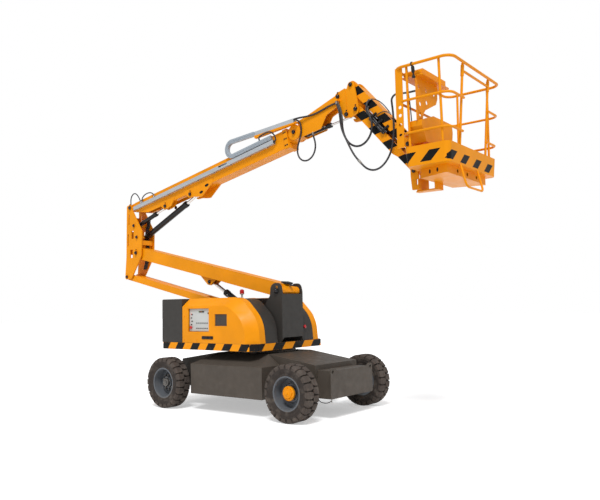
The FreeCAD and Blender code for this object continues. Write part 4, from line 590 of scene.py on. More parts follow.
class LIFT_OT_stage(bpy.types.Operator):
    """Camera, lights and the pale floor"""
    bl_idname = "lift.stage"
    bl_label = "Stage"

    def execute(self, context):
        scene = context.scene
        stage = scene.lift_stage
        camera = added("camera", bpy.data.cameras.new("camera"))
        scene.camera = camera
        camera.data.lens = stage.focal
        camera.data.sensor_width = 36.0
        yaw, pitch, roll = stage.yaw, stage.pitch, stage.roll
        ahead = Vector((-math.sin(yaw) * math.cos(pitch), math.cos(yaw) * math.cos(pitch),
                        math.sin(pitch)))
        right = Vector((math.cos(yaw), math.sin(yaw), 0.0))
        up = right.cross(ahead)
        side = right * math.cos(roll) + up * math.sin(roll)
        over = -right * math.sin(roll) + up * math.cos(roll)
        turn = Matrix((side, over, -ahead)).transposed().to_4x4()
        camera.matrix_world = Matrix.Translation(Vector(stage.place)) @ turn
        scene.view_settings.view_transform = "Standard"
        self.light(scene, stage)
        self.floor()
        return {"FINISHED"}

    def light(self, scene, stage):
        """An even sky that the camera sees as white, and a soft sun."""
        white = (1.0, 1.0, 1.0, 1.0)
        scene.world = bpy.data.worlds.new("sky")
        scene.world.use_nodes = True
        nodes, links = scene.world.node_tree.nodes, scene.world.node_tree.links
        light = nodes["Background"]
        seen = nodes.new("ShaderNodeBackground")
        for node, colour, strength in ((light, (0.96, 0.98, 1.0, 1.0), stage.sky), (seen, white, 1.0)):
            node.inputs[0].default_value = colour
            node.inputs[1].default_value = strength
        path = nodes.new("ShaderNodeLightPath")
        mix = nodes.new("ShaderNodeMixShader")
        links.new(path.outputs["Is Camera Ray"], mix.inputs[0])
        links.new(light.outputs[0], mix.inputs[1])
        links.new(seen.outputs[0], mix.inputs[2])
        links.new(mix.outputs[0], nodes["World Output"].inputs["Surface"])
        sun = added("sun", bpy.data.lights.new("sun", "SUN"))
        sun.data.energy = stage.sun
        sun.data.angle = 0.3
        sun.rotation_euler = Vector((0.42, -0.62, 1.0)).to_track_quat("Z", "Y").to_euler()

    def floor(self):
        """A wide pale floor that shines a little by itself, as in a studio."""
        reach = 60.0
        glow = 0.42
        mesh = bpy.data.meshes.new("floor")
        mesh.from_pydata([(-reach, -reach, 0), (reach, -reach, 0), (reach, reach, 0),
                          (-reach, reach, 0)], [], [(0, 1, 2, 3)])
        shade = Shading("floor_pale")
        for key, value in (("Base Color", (0.86, 0.86, 0.86, 1.0)), ("Roughness", 1.0),
                           ("Specular IOR Level", 0.0), ("Emission Color", (1.0, 1.0, 1.0, 1.0))):
            shade.put(key, value)
        path = shade.add("ShaderNodeLightPath")
        shown = shade.math("MAXIMUM", path.outputs["Is Camera Ray"], path.outputs["Is Glossy Ray"])
        shade.put("Emission Strength", shade.math("MULTIPLY", shown, glow))
        mesh.materials.append(shade.material)
        added("floor", mesh)


class LIFT_OT_paint(bpy.types.Operator):
    """Give every solid its paint, with the hazard stripes"""
    bl_idname = "lift.paint"
    bl_label = "Paint"

    def execute(self, context):
        paints = context.scene.lift_paints
        wide = context.scene.lift_sizes.stripe
        boom = tuple(paints.boom)
        for row in frame["record"]["subparts"]:
            materials = frame["nodes"][row["node"]].data.materials
            materials.clear()
            zinc = row["node"] == "drag_chain"
            materials.append(look("chain_zinc" if zinc else row["material_slot"]))
        band = (UP, 0.8, 0.889)
        stripes = {
            "turntable_frame": striped("band_stripes", tuple(paints.table), (
                ((1.0, 0.0, -0.65), -1.662, 0.302, 0.15, FAR, True, 0.75, band),
                ((0.0, 1.0, -0.8), -1.438, 0.405, 0.2, FRONT, True, 0.6, band)),
                0.42, (boom, (UP, 0.7995, 0.8895))),
            "basket_floor": striped("toe_board_stripes", boom, (
                ((1.0, 0.0, -1.0), -0.198, 0.284, wide, FAR, True, 0.4, (UP, 2.866, 2.982)),
                ((0.0, 1.0, -1.0), -3.535, 0.32, wide * 1.1, FRONT, False, 0.5, (UP, 2.858, 2.96)))),
        }
        lean = JIB_LINE - JIB_UP * 0.55
        for node, pin, start, pitch in (("jib_arm_top", ARM_TOP, 0.055, 0.281),
                                        ("jib_arm_low", ARM_LOW, 0.06, 0.283)):
            reach = pin.dot(JIB_LINE)
            stripes[node] = striped("arm_stripes", boom, (
                (lean, pin.dot(lean) + start, pitch, wide, FAR, True, 0.75,
                 (JIB_LINE, reach + 0.02, reach + 1.1)),))
        for node, material in stripes.items():
            frame["nodes"][node].data.materials[0] = material
        return {"FINISHED"}


# Free hoses: name, node, body, radius, points.
HOSES = (
    ("hose_to_jib", "hose_jib", "jib_head", 0.013, (
        (1.2932, -0.152, 3.9378), (1.2932, -0.152, 3.9121), (1.3152, -0.152, 3.8681),
        (1.3362, -0.152, 3.8061), (1.3472, -0.152, 3.7321), (1.3532, -0.152, 3.6501),
        (1.3602, -0.152, 3.5641), (1.3852, -0.152, 3.4761), (1.4302, -0.152, 3.3981),
        (1.4932, -0.152, 3.3401), (1.5692, -0.152, 3.3101), (1.6512, -0.152, 3.3181),
        (1.7212, -0.152, 3.3621), (1.7702, -0.152, 3.4281), (1.7922, -0.152, 3.5051),
        (1.7872, -0.152, 3.5851), (1.7632, -0.151, 3.6621), (1.7372, -0.15, 3.7301),
        (1.7232, -0.142, 3.7701), (1.7172, -0.124, 3.7861), (1.7172, -0.0995, 3.7861))),
    ("hose_to_basket_start", "hose_sling", "jib_head", 0.012, (
        (1.2932, -0.18, 3.9378), (1.2932, -0.18, 3.9121), (1.3112, -0.18, 3.8681),
        (1.3302, -0.18, 3.8041), (1.3422, -0.18, 3.7261), (1.3492, -0.18, 3.6421),
        (1.3652, -0.18, 3.5601), (1.3972, -0.18, 3.4821), (1.4352, -0.18, 3.4061),
        (1.4732, -0.18, 3.3261), (1.5152, -0.18, 3.2461), (1.5638, -0.18, 3.1715),
        (1.6162, -0.18, 3.1111))),
    ("hose_to_basket", "hose_basket", "jib_end", 0.012, (
        (1.6165, -0.18, 3.1108), (1.6687, -0.18, 3.0507), (1.7332, -0.179, 2.9981),
        (1.8112, -0.175, 2.9731), (1.8892, -0.168, 2.9861), (1.9592, -0.16, 3.0361),
        (2.0162, -0.154, 3.1101), (2.0572, -0.152, 3.2001), (2.0812, -0.152, 3.3001),
        (2.0932, -0.152, 3.4021), (2.0952, -0.152, 3.5021), (2.0912, -0.152, 3.5961),
        (2.0842, -0.152, 3.6841), (2.0772, -0.152, 3.7481), (2.0732, -0.152, 3.7951),
        (2.0847, -0.1454, 3.8271), (2.1059, -0.1332, 3.8515), (2.1336, -0.1173, 3.8648),
        (2.1636, -0.1001, 3.8648))),
    ("hose_to_console", "hose_console", "basket", 0.012, (
        (2.1643, -0.0997, 3.8648), (2.2033, -0.0772, 3.8645), (2.2562, -0.056, 3.8671),
        (2.3212, -0.043, 3.8711), (2.3812, -0.039, 3.8701), (2.4312, -0.04, 3.8681),
        (2.4819, -0.04, 3.8681))),
    ("hose_below_nose", "hose_nose", "fly", 0.011, (
        (0.5501, -0.107, 3.8434), (0.5721, -0.107, 3.8476), (0.5995, -0.103, 3.8432),
        (0.6219, -0.096, 3.8221), (0.6384, -0.089, 3.7784), (0.6479, -0.086, 3.713),
        (0.6369, -0.086, 3.6437), (0.6093, -0.086, 3.5702), (0.5807, -0.086, 3.4964),
        (0.5711, -0.086, 3.4192), (0.5947, -0.086, 3.3443), (0.651, -0.086, 3.29),
        (0.7244, -0.084, 3.2736), (0.7938, -0.08, 3.2992), (0.8425, -0.076, 3.3533),
        (0.8641, -0.072, 3.4207), (0.8628, -0.068, 3.4856), (0.8503, -0.067, 3.5402),
        (0.834, -0.067, 3.588), (0.8229, -0.067, 3.6455))),
    ("hose_over_knuckle", "hose_knuckle", "upper_boom", 0.009, (
        (-3.0018, -0.105, 3.0937), (-3.0055, -0.105, 3.1287), (-3.0075, -0.105, 3.1761),
        (-2.9985, -0.105, 3.2247), (-2.9676, -0.105, 3.2653), (-2.9208, -0.106, 3.2865),
        (-2.8669, -0.109, 3.2765), (-2.8191, -0.113, 3.245), (-2.7806, -0.116, 3.2035),
        (-2.7499, -0.117, 3.1606), (-2.7309, -0.117, 3.1255), (-2.7236, -0.117, 3.0875))),
    ("hose_arch", "hose_knuckle", "upper_boom", 0.009, (
        (-2.6922, -0.117, 3.0936), (-2.6991, -0.117, 3.1296), (-2.6929, -0.117, 3.1715),
        (-2.6613, -0.116, 3.2082), (-2.6093, -0.115, 3.2345), (-2.5488, -0.114, 3.2482),
        (-2.4857, -0.114, 3.2481), (-2.4336, -0.115, 3.2316), (-2.3946, -0.116, 3.1984),
        (-2.3858, -0.117, 3.1526))),
    ("console_lead", None, "basket", 0.006, (
        (2.505, -0.552, 3.829), (2.5045, -0.549, 3.8), (2.5, -0.535, 3.74), (2.4975, -0.5, 3.64),
        (2.496, -0.475, 3.52), (2.4955, -0.46, 3.4), (2.496, -0.445, 3.29), (2.5, -0.43, 3.21),
        (2.511, -0.42, 3.175), (2.5235, -0.418, 3.17))),
    ("bumper_lead", None, "chassis", 0.005, (
        (1.08, -0.41, 0.2495), (1.081, -0.41, 0.235), (1.095, -0.41, 0.212), (1.135, -0.41, 0.196),
        (1.185, -0.41, 0.193), (1.235, -0.41, 0.202), (1.27, -0.41, 0.222), (1.281, -0.41, 0.236),
        (1.282, -0.41, 0.2495))),
    ("arm_lead_upper", None, "jib_arm_top", 0.006, (
        (1.737, -0.1105, 3.874), (1.775, -0.1105, 3.879), (1.82, -0.1105, 3.8655),
        (1.872, -0.1105, 3.834), (1.921, -0.1105, 3.791), (1.97, -0.1105, 3.733),
        (2.018, -0.1105, 3.666), (2.035, -0.1105, 3.632))),
    ("arm_lead_lower", None, "jib_arm_top", 0.006, (
        (1.779, -0.1105, 3.579), (1.8, -0.1105, 3.618), (1.83, -0.1105, 3.652),
        (1.868, -0.1105, 3.677), (1.909, -0.1105, 3.6886), (1.95, -0.1105, 3.685),
        (1.985, -0.1105, 3.673), (2.02, -0.1105, 3.648))),
)
# Ferrule: factor on the hose's radius, and height.
FERRULE = ((0.0, 0.0), (1.25, 0.0), (1.35, 0.004), (1.35, 0.016), (1.18, 0.019), (1.18, 0.036),
           (1.02, 0.04))


def centre_line(curve):
    """The points that a curve without thickness follows."""
    graph = bpy.context.evaluated_depsgraph_get()
    depth = curve.data.bevel_depth
    curve.data.bevel_depth = 0.0
    graph.update()
    line = bpy.data.meshes.new_from_object(curve.evaluated_get(graph), depsgraph=graph)
    points = [vert.co.copy() for vert in line.vertices]
    bpy.data.meshes.remove(line)
    curve.data.bevel_depth = depth
    return points


class LIFT_OT_hoses(bpy.types.Operator):
    """The hoses that hang free between the arms"""
    bl_idname = "lift.hoses"
    bl_label = "Hoses"

    def execute(self, context):
        for name, node, body, radius, points in HOSES:
            data = bpy.data.curves.new(name, "CURVE")
            data.dimensions = "3D"
            spline = data.splines.new("NURBS")
            spline.points.add(len(points) - 1)
            for point, place in zip(spline.points, points):
                point.co = (*place, 1.0)
            spline.order_u = 3
            spline.use_endpoint_u = True
            spline.resolution_u = 8
            data.resolution_u = 8
            data.bevel_depth = radius
            data.bevel_resolution = 5
            data.use_fill_caps = True
            data.materials.append(look("hose_rubber"))
            hose = added(name, data)
            line = centre_line(hose)
            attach(hose, body)
            if node is not None:
                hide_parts(node)
            tips = [(1, line[0], line[1] - line[0]), (2, line[-1], line[-2] - line[-1])]
            if name == "hose_over_knuckle":
                del tips[0]
            for number, tip, inward in tips:
                maker = Maker()
                maker.turned(tip + inward.normalized() * 0.001, inward,
                             [(radius * factor, height) for factor, height in FERRULE], 20)
                maker.done("%s_ferrule_%d" % (name, number), "fitting_steel", body)
        return {"FINISHED"}


# Carcass of a tyre below its lugs: radius and distance from the wheel's middle plane.
CARCASS = ((0.205, 0.095), (0.213, 0.0985), (0.222, 0.099), (0.226, 0.0965), (0.232, 0.0995),
           (0.25, 0.106), (0.262, 0.1085), (0.266, 0.106), (0.27, 0.1085), (0.285, 0.108),
           (0.3, 0.103))
# The corners of a flat lug stand on the rolling circle when its middle is this much lower.
LUG_DROP = 0.0027


class LIFT_OT_tyres(bpy.types.Operator):
    """Solid tyres with staggered shoulder lugs"""
    bl_idname = "lift.tyres"
    bl_label = "Tyres"

    def execute(self, context):
        sizes = context.scene.lift_sizes
        base = AXLE_HEIGHT - sizes.lug_height
        half = CARCASS + ((base - 0.006, 0.095), (base, 0.085))
        profile = half + tuple((radius, -y) for radius, y in reversed(half)) + half[:1]
        count = sizes.lug_count
        for name, centre, _ in WHEELS:
            maker = Maker()
            maker.turned(centre, FAR, profile, 72)
            carcass = maker.done("tyre_body_" + name, "tyre_rubber", "wheel_" + name)
            rows = []
            for flip, shift in ((1, 0.0), (-1, 0.5)):
                for i in range(count):
                    angle = 2 * math.pi * (i + shift) / count
                    out = Vector((math.sin(angle), 0.0, math.cos(angle)))
                    across = Vector((0.0, flip, 0.0))
                    turn = Matrix((across.cross(out), across, out)).transposed().to_euler()
                    rows.append((centre + out * (AXLE_HEIGHT - LUG_DROP), turn))
            lugs = repeated("tread_" + name, tyre_lug, rows, "tyre_worn", "wheel_" + name, smooth=25.0)
            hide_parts("tyre_" + name)
            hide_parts("tyre_" + name)
        return {"FINISHED"}


# Turned parts of the wheels: radius and height pairs.
HUB_CAP = ((0.0, 0.031), (0.044, 0.031), (0.046, 0.0), (0.058, 0.0), (0.06, 0.012), (0.052, 0.03),
           (0.05, 0.034), (0.03, 0.036), (0.028, 0.044), (0.02, 0.048), (0.0, 0.049))
CAP_SCREW = ((0.0, 0.0), (0.009, 0.0), (0.009, 0.014), (0.006, 0.018), (0.0, 0.018))
COVER_PLUG = ((0.0, 0.0), (0.034, 0.0), (0.036, 0.003), (0.03, 0.006), (0.012, 0.006),
              (0.011, 0.012), (0.008, 0.014), (0.0, 0.014))
RIM_BEAD = ((0.188, 0.0), (0.1915, 0.003), (0.1915, 0.01), (0.188, 0.0125), (0.1845, 0.01),
            (0.1845, 0.003), (0.188, 0.0))
DISH_BEAD = ((0.126, 0.0), (0.13, 0.001), (0.13, 0.006), (0.126, 0.009), (0.122, 0.006),
             (0.122, 0.001), (0.126, 0.0))


class LIFT_OT_wheels(bpy.types.Operator):
    """Wheel nuts, hub details and cover bolts"""
    bl_idname = "lift.wheels"
    bl_label = "Wheel fittings"

    def execute(self, context):
        sizes = context.scene.lift_sizes
        for name, centre, side in WHEELS:
            body = "wheel_" + name
            out = FAR * side
            maker = Maker()
            if name.startswith("steer"):
                repeated("nuts_" + name, wheel_nut, bolt_circle(centre, out, 9, 0.1, -0.008),
                         "nut_steel", body, sizes.wheel_nut)
                maker.turned(centre + out * 0.0206, out, HUB_CAP)
                for place, _ in bolt_circle(centre, out, 6, 0.072, 0.018, 0.3):
                    maker.turned(place, out, CAP_SCREW, 12)
                maker.done("hub_cap_" + name, "nut_steel", body)
            else:
                repeated("cover_bolts_" + name, hex_bolt,
                         bolt_circle(centre, out, 8, 0.066, 0.0595, 0.2), "boom_orange", body,
                         sizes.bolt * 0.8)
                maker.turned(centre + out * 0.0738, out, COVER_PLUG, 28)
                maker.done("cover_plug_" + name, "boom_orange", body)
            maker = Maker()
            maker.turned(centre + out * 0.082, out, RIM_BEAD, 72)
            maker.turned(centre - out * 0.012, out, DISH_BEAD, 56)
            maker.done("rim_beads_" + name, "rim_grey", body)
        return {"FINISHED"}


def cut_copy(node, cutters, name):
    """A copy of a body's orange shell, with boxes cut out of it, in place of the solid."""
    data = frame["nodes"][node].data.copy()
    mesh = bmesh.new()
    mesh.from_mesh(data)
    bmesh.ops.remove_doubles(mesh, verts=mesh.verts, dist=1e-5)
    mesh.to_mesh(data)
    mesh.free()
    normals = data.attributes.get("custom_normal")
    if normals is not None:
        data.attributes.remove(normals)
    piece = added(name, data)
    graph = bpy.context.evaluated_depsgraph_get()
    for centre, size in cutters:
        maker = Maker()
        maker.block(centre, size, bevel=0.0)
        cutter = added("cutter", maker.data("cutter"))
        step = piece.modifiers.new("Opening", "BOOLEAN")
        step.operation = "DIFFERENCE"
        step.solver = "EXACT"
        step.object = cutter
        graph.update()
        made = bpy.data.meshes.new_from_object(piece.evaluated_get(graph), depsgraph=graph)
        piece.modifiers.remove(step)
        piece.data = made
        bpy.data.objects.remove(cutter)
    piece.data.materials.clear()
    piece.data.materials.append(look("boom_orange"))
    dressed(piece, node, 30.0)
    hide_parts(node)


# Hood openings and latch, as x from, x to, z from, z to; the hood's side from the middle plane.
PANEL_WINDOW = (-0.883, -0.464, 1.036, 1.358)
HOOD_VENT = (-0.362, -0.126, 1.114, 1.28)
HOOD_LATCH = (-0.599, -0.388, 0.944, 0.984)
HOOD_SIDE = 0.744
LATCH_KEY = ((0.0, 0.0), (0.013, 0.0), (0.012, 0.006), (0.006, 0.008), (0.0, 0.006))
HOOD_BOLTS = ((-0.955, 0.93), (-0.955, 1.25), (0.12, 0.93), (-0.7, 0.93))


class LIFT_OT_hoods(bpy.types.Operator):
    """Hoods with the panel's window, the vent, the latch and their seams"""
    bl_idname = "lift.hoods"
    bl_label = "Hoods"

    def execute(self, context):
        frame_width = 0.006
        frame_face = HOOD_SIDE + 0.001
        for side, name, windows in ((-1, "near", {HOOD_VENT: 0.022, PANEL_WINDOW: 0.026}),
                                    (1, "far", {HOOD_VENT: 0.022})):
            body = "hood_" + name
            cut_copy(body, [slab(window, side, HOOD_SIDE - 0.03, HOOD_SIDE + 0.03)
                            for window in windows], "hood_shell_" + name)
            maker = Maker()
            for (x0, x1, z0, z1), deep in windows.items():
                for bar in ((x0, x1, z0, z0 + frame_width), (x0, x1, z1 - frame_width, z1),
                            (x0, x0 + frame_width, z0, z1), (x1 - frame_width, x1, z0, z1)):
                    maker.block(*slab(bar, side, frame_face - deep, frame_face), bevel=0.0015)
            maker.done("hood_frames_" + name, "boom_orange", body)
            x0, x1, z0, z1 = HOOD_VENT
            pitch = context.scene.lift_sizes.vent_slot
            count = int((z1 - z0 - 0.014) / pitch)
            turn = (0.0, 0.0, 0.0 if side < 0 else math.pi)
            repeated("vent_slats_" + name, vent_slat, [
                (((x0 + x1) / 2, side * (HOOD_SIDE - 0.012), z0 + 0.008 + i * pitch), turn,
                 (x1 - x0 - 0.008, 1.0, 1.0)) for i in range(count + 1)], "vent_grey", body)
            # A black plate of painted shade behind the slats, for the dark inside of the hood seen through
            # the vent.
            maker = Maker()
            maker.block(*slab(HOOD_VENT, side, HOOD_SIDE - 0.023, HOOD_SIDE - 0.02), bevel=0.0)
            maker.done("vent_back_" + name, "moulded_black", body)
            x0, x1, z0, z1 = HOOD_LATCH
            middle = (z0 + z1) / 2
            maker = Maker()
            maker.block(*slab(HOOD_LATCH, side, HOOD_SIDE - 0.002, HOOD_SIDE + 0.008), bevel=0.004)
            maker.block((x0 + 0.07, side * (HOOD_SIDE + 0.01), middle), (0.1, 0.012, 0.02), bevel=0.004)
            maker.turned((x1 - 0.035, side * (HOOD_SIDE + 0.007), middle), FAR * side, LATCH_KEY, 20)
            maker.done("hood_latch_" + name, "moulded_black", body)
            repeated("hood_bolts_" + name, hex_bolt, [
                ((x, side * HOOD_SIDE, z), aim(FAR * side, 0.2)) for x, z in HOOD_BOLTS],
                "boom_orange", body, 0.012)
        return {"FINISHED"}


# Controls on the panel, and the panel's face from the middle plane.
PANEL_FACE = 0.716
TOGGLE = ((0.0, 0.0), (0.008, 0.0), (0.008, 0.003), (0.0045, 0.004), (0.0035, 0.015),
          (0.004, 0.018), (0.0, 0.019))
KEY_SWITCH = ((0.0, 0.0), (0.012, 0.0), (0.012, 0.004), (0.009, 0.006), (0.0, 0.006))
PANEL_STOP = ((0.0, 0.0), (0.012, 0.0), (0.012, 0.008), (0.02, 0.01), (0.021, 0.016),
              (0.016, 0.02), (0.0, 0.022))
RESET_BUTTON = ((0.0, 0.0), (0.007, 0.0), (0.007, 0.004), (0.0, 0.005))
PANEL_LAMP = ((0.0, 0.0), (0.006, 0.0), (0.005, 0.003), (0.0, 0.004))


def on_panel(x, z, out=0.003):
    """A place on the panel, out from its face."""
    return Vector((x, -PANEL_FACE - out, z))


class LIFT_OT_panel(bpy.types.Operator):
    """Ground control panel with its switches and lamps"""
    bl_idname = "lift.panel"
    bl_label = "Control panel"

    def execute(self, context):
        x0, x1, z0, z1 = PANEL_WINDOW
        middle = (x0 + x1) / 2
        edge = 0.015
        maker = Maker()
        maker.block(*slab((x0 + edge, x1 - edge, z0 + edge, z1 - edge), -1, PANEL_FACE,
                          PANEL_FACE + 0.003), bevel=0.001)
        maker.block(on_panel(middle + 0.03, z1 - 0.05, 0.004), (0.2, 0.003, 0.034), bevel=0.001)
        maker.done("panel_plate", "panel_grey", "turntable")
        maker = Maker()
        for i in range(6):
            for j in range(2):
                maker.turned(on_panel(x0 + 0.16 + i * 0.04, z0 + 0.05 + j * 0.07), NEAR, TOGGLE, 12)
        for i in range(4):
            maker.block(on_panel(x0 + 0.05 + 0.012 * (i % 2), z0 + 0.1 + i * 0.045, 0.004),
                        (0.026, 0.006, 0.014), bevel=0.002)
        maker.turned(on_panel(x1 - 0.04, z1 - 0.07), NEAR, KEY_SWITCH, 20)
        maker.block(on_panel(middle + 0.045, z1 - 0.05, 0.0065), (0.1, 0.002, 0.02), bevel=0.0005)
        maker.done("panel_switches", "moulded_black", "turntable")
        maker = Maker()
        maker.turned(on_panel(x0 + 0.05, z0 + 0.06), NEAR, PANEL_STOP, 28)
        maker.turned(on_panel(x0 + 0.05, z0 + 0.24), NEAR, RESET_BUTTON, 16)
        maker.done("panel_stop", "button_red", "turntable")
        for i in range(3):
            maker = Maker()
            maker.turned(on_panel(x0 + 0.2 + 0.028 * i, z1 - 0.05, 0.0075), NEAR, PANEL_LAMP, 14)
            maker.done("panel_lamp_%d" % (i + 1), "lamp_%d" % (i + 1), "turntable")
        return {"FINISHED"}


# Warning lamp and its ribs, and the stop button on the cowl.
BEACON_PLACE = Vector((-0.153, -0.43, 1.478))
BEACON_STEM = ((0.0, 0.0), (0.026, 0.0), (0.026, 0.006), (0.013, 0.01), (0.013, 0.05),
               (0.03, 0.056), (0.031, 0.062), (0.0, 0.062))
BEACON_DOME = ((0.028, 0.108), (0.02, 0.117), (0.009, 0.121), (0.0, 0.1218))
RIB_PITCH = 0.007
COWL_PLACE = Vector((0.318, 0.3, 1.075))
COWL_STOP = ((0.0, 0.0), (0.014, 0.0), (0.014, 0.012), (0.024, 0.016), (0.025, 0.026),
             (0.018, 0.032), (0.0, 0.034))


class LIFT_OT_beacon(bpy.types.Operator):
    """Warning lamp with its ribbed lens, and the stop button on the far cowl"""
    bl_idname = "lift.beacon"
    bl_label = "Beacon"

    def execute(self, context):
        maker = Maker()
        maker.turned(BEACON_PLACE, UP, BEACON_STEM, 28)
        stem = maker.done("beacon_stem", "lamp_base", "turntable")
        lens = [(0.0, 0.061), (0.029, 0.061)]
        for i in range(6):
            z = 0.064 + i * RIB_PITCH
            lens += [(0.0285, z), (0.031, z + RIB_PITCH / 2)]
        maker = Maker()
        maker.turned(BEACON_PLACE, UP, (*lens, *BEACON_DOME), 32)
        dome = maker.done("beacon_lens", "beacon_red", "turntable")
        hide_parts("beacon")
        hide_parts("beacon")
        maker = Maker()
        maker.turned(COWL_PLACE, (1, 0, 0.1), COWL_STOP, 28)
        maker.done("cowl_stop", "beacon_red", "turntable")
        return {"FINISHED"}


def boom_place(along, across, y=0.0):
    """A point given along and across the upper boom."""
    place = KNEE + BOOM_LINE * along + BOOM_UP * across
    return Vector((place.x, y, place.z))


# Pin ends of each body: x, z, distance from the middle plane, factor on the cap, keeper plate.
PIN_ENDS = {
    "turntable": ((0.282, 1.567, 0.232, 1.25, True),),
    "knuckle": ((-2.9805, 3.0469, 0.147, 1.0, True), (-2.8145, 2.2819, 0.147, 1.0, True),
                (-3.0495, 1.8979, 0.147, 0.85, False), (-2.8745, 2.7379, 0.147, 0.85, False),
                (-2.7965, 2.5409, 0.147, 0.85, False)),
    "lower_boom": ((-1.1509, 1.7439, 0.08, 0.95, False),),
    "upper_boom": ((-2.1235, 2.9858, 0.109, 0.95, True), (-1.5357, 3.1062, 0.109, 0.95, True)),
    "jib_head": ((1.28119, 4.01015, 0.136, 0.95, True), (1.48019, 4.12415, 0.136, 0.9, False),
                 (1.54619, 3.79715, 0.136, 0.95, True), (1.40919, 3.75515, 0.136, 0.95, True)),
    "jib_end": ((2.2596, 3.22755, 0.136, 0.85, False), (2.3256, 2.90055, 0.136, 0.85, False)),
    "fly": ((*boom_place(3.562, -0.021).xz, 0.099, 1.0, False),),
}


class LIFT_OT_pins(bpy.types.Operator):
    """Dark caps on the pins of all arms, with their keeper plates"""
    bl_idname = "lift.pins"
    bl_label = "Pins"

    def execute(self, context):
        sizes = context.scene.lift_sizes
        for body, pins in PIN_ENDS.items():
            repeated("pin_caps_" + body, pin_cap, [
                ((x, side * (reach - 0.0005), z), aim(FAR * side), (factor, factor, factor))
                for x, z, reach, factor, _ in pins for side in (-1, 1)],
                "pin_dark", body, sizes.pin_cap)
        for body, pins in PIN_ENDS.items():
            kept = [pin for pin in pins if pin[-1]]
            if not kept:
                continue
            maker = Maker()
            bolts = []
            for x, z, reach, _, _ in kept:
                for side in (-1, 1):
                    maker.block((x, side * (reach - 0.009), z + 0.043), (0.026, 0.007, 0.04),
                                bevel=0.0015)
                    bolts.append(((x, side * (reach - 0.006), z + 0.05), aim(FAR * side, 0.4)))
            maker.done("keepers_" + body, "boom_orange", body)
            repeated("keeper_bolts_" + body, hex_bolt, bolts, "pin_dark", body, sizes.bolt * 0.75)
        return {"FINISHED"}


# Cylinders: name, foot, head, barrel and rod radius, barrel's reach, y, ports along the barrel.
# Two ports stand on the near side with a steel line between them, one port stands on top.
CYLINDERS = (
    ("riser", (0.122, 0.975), (-1.1509, 1.7439), 0.045, 0.025, 1.17, 0.0, (0.11, 1.095)),
    ("lift", (-2.7965, 2.5409), (-1.5357, 3.1062), 0.045, 0.025, 1.12, 0.044, (0.13,)),
    ("level", (-2.8745, 2.7379), (-2.1235, 2.9858), 0.034, 0.018, 0.5, -0.0515, (0.13,)),
    ("slave", (0.6909, 3.6541), (1.4092, 3.7551), 0.028, 0.0205, 0.379, 0.0, (0.11, 0.304)),
    ("jib", (1.5462, 3.7971), (2.2596, 3.2276), 0.034, 0.02, 0.77, 0.0, (0.11,)),
)
PORT = ((0.0, 0.0), (0.011, 0.0), (0.011, 0.01), (0.0085, 0.012), (0.0085, 0.017), (0.0, 0.017))


class LIFT_OT_cylinders(bpy.types.Operator):
    """Glands, port blocks and steel lines on the cylinders"""
    bl_idname = "lift.cylinders"
    bl_label = "Cylinder fittings"

    def execute(self, context):
        for name, foot, head, barrel, rod, reach, y, ports in CYLINDERS:
            start = Vector((foot[0], y, foot[1]))
            ahead = (Vector((head[0], y, head[1])) - start).normalized()
            way = NEAR if len(ports) == 2 else Vector((-ahead.z, 0.0, ahead.x))
            maker = Maker()
            maker.turned(start + ahead * (reach - 0.0005), ahead, (
                (rod + 0.0005, 0.0), (barrel + 0.0035, 0.0), (barrel + 0.0035, 0.006), (barrel, 0.01),
                (rod + 0.008, 0.01), (rod + 0.006, 0.016), (rod + 0.0005, 0.016)), 40)
            maker.turned(start + ahead * 0.07, ahead, (
                (barrel, 0.0), (barrel + 0.003, 0.002), (barrel + 0.003, 0.012), (barrel, 0.014)), 40)
            maker.done("glands_" + name, "cylinder_black", name + "_barrel")
            maker = Maker()
            for along in ports:
                maker.turned(start + ahead * along + way * (barrel - 0.004), way, PORT, 6)
            if len(ports) == 2:
                first, last = (start + ahead * along + way * (barrel + 0.011) for along in ports)
                maker.tube((first - way * 0.012, first, first + ahead * 0.02, last - ahead * 0.02,
                            last, last - way * 0.012), 0.0042, 10)
            maker.done("ports_" + name, "fitting_steel", name + "_barrel")
        return {"FINISHED"}


# Drag chain: bend's centre along and across the boom, radius of its line, link pitch, fall of
# the upper run, and the near face of its links.
CHAIN_BEND = (2.45, 0.146)
CHAIN_RADIUS = 0.109
LINK_PITCH = 0.052
CHAIN_FALL = math.radians(6.6)
CHAIN_FACE = -0.1393


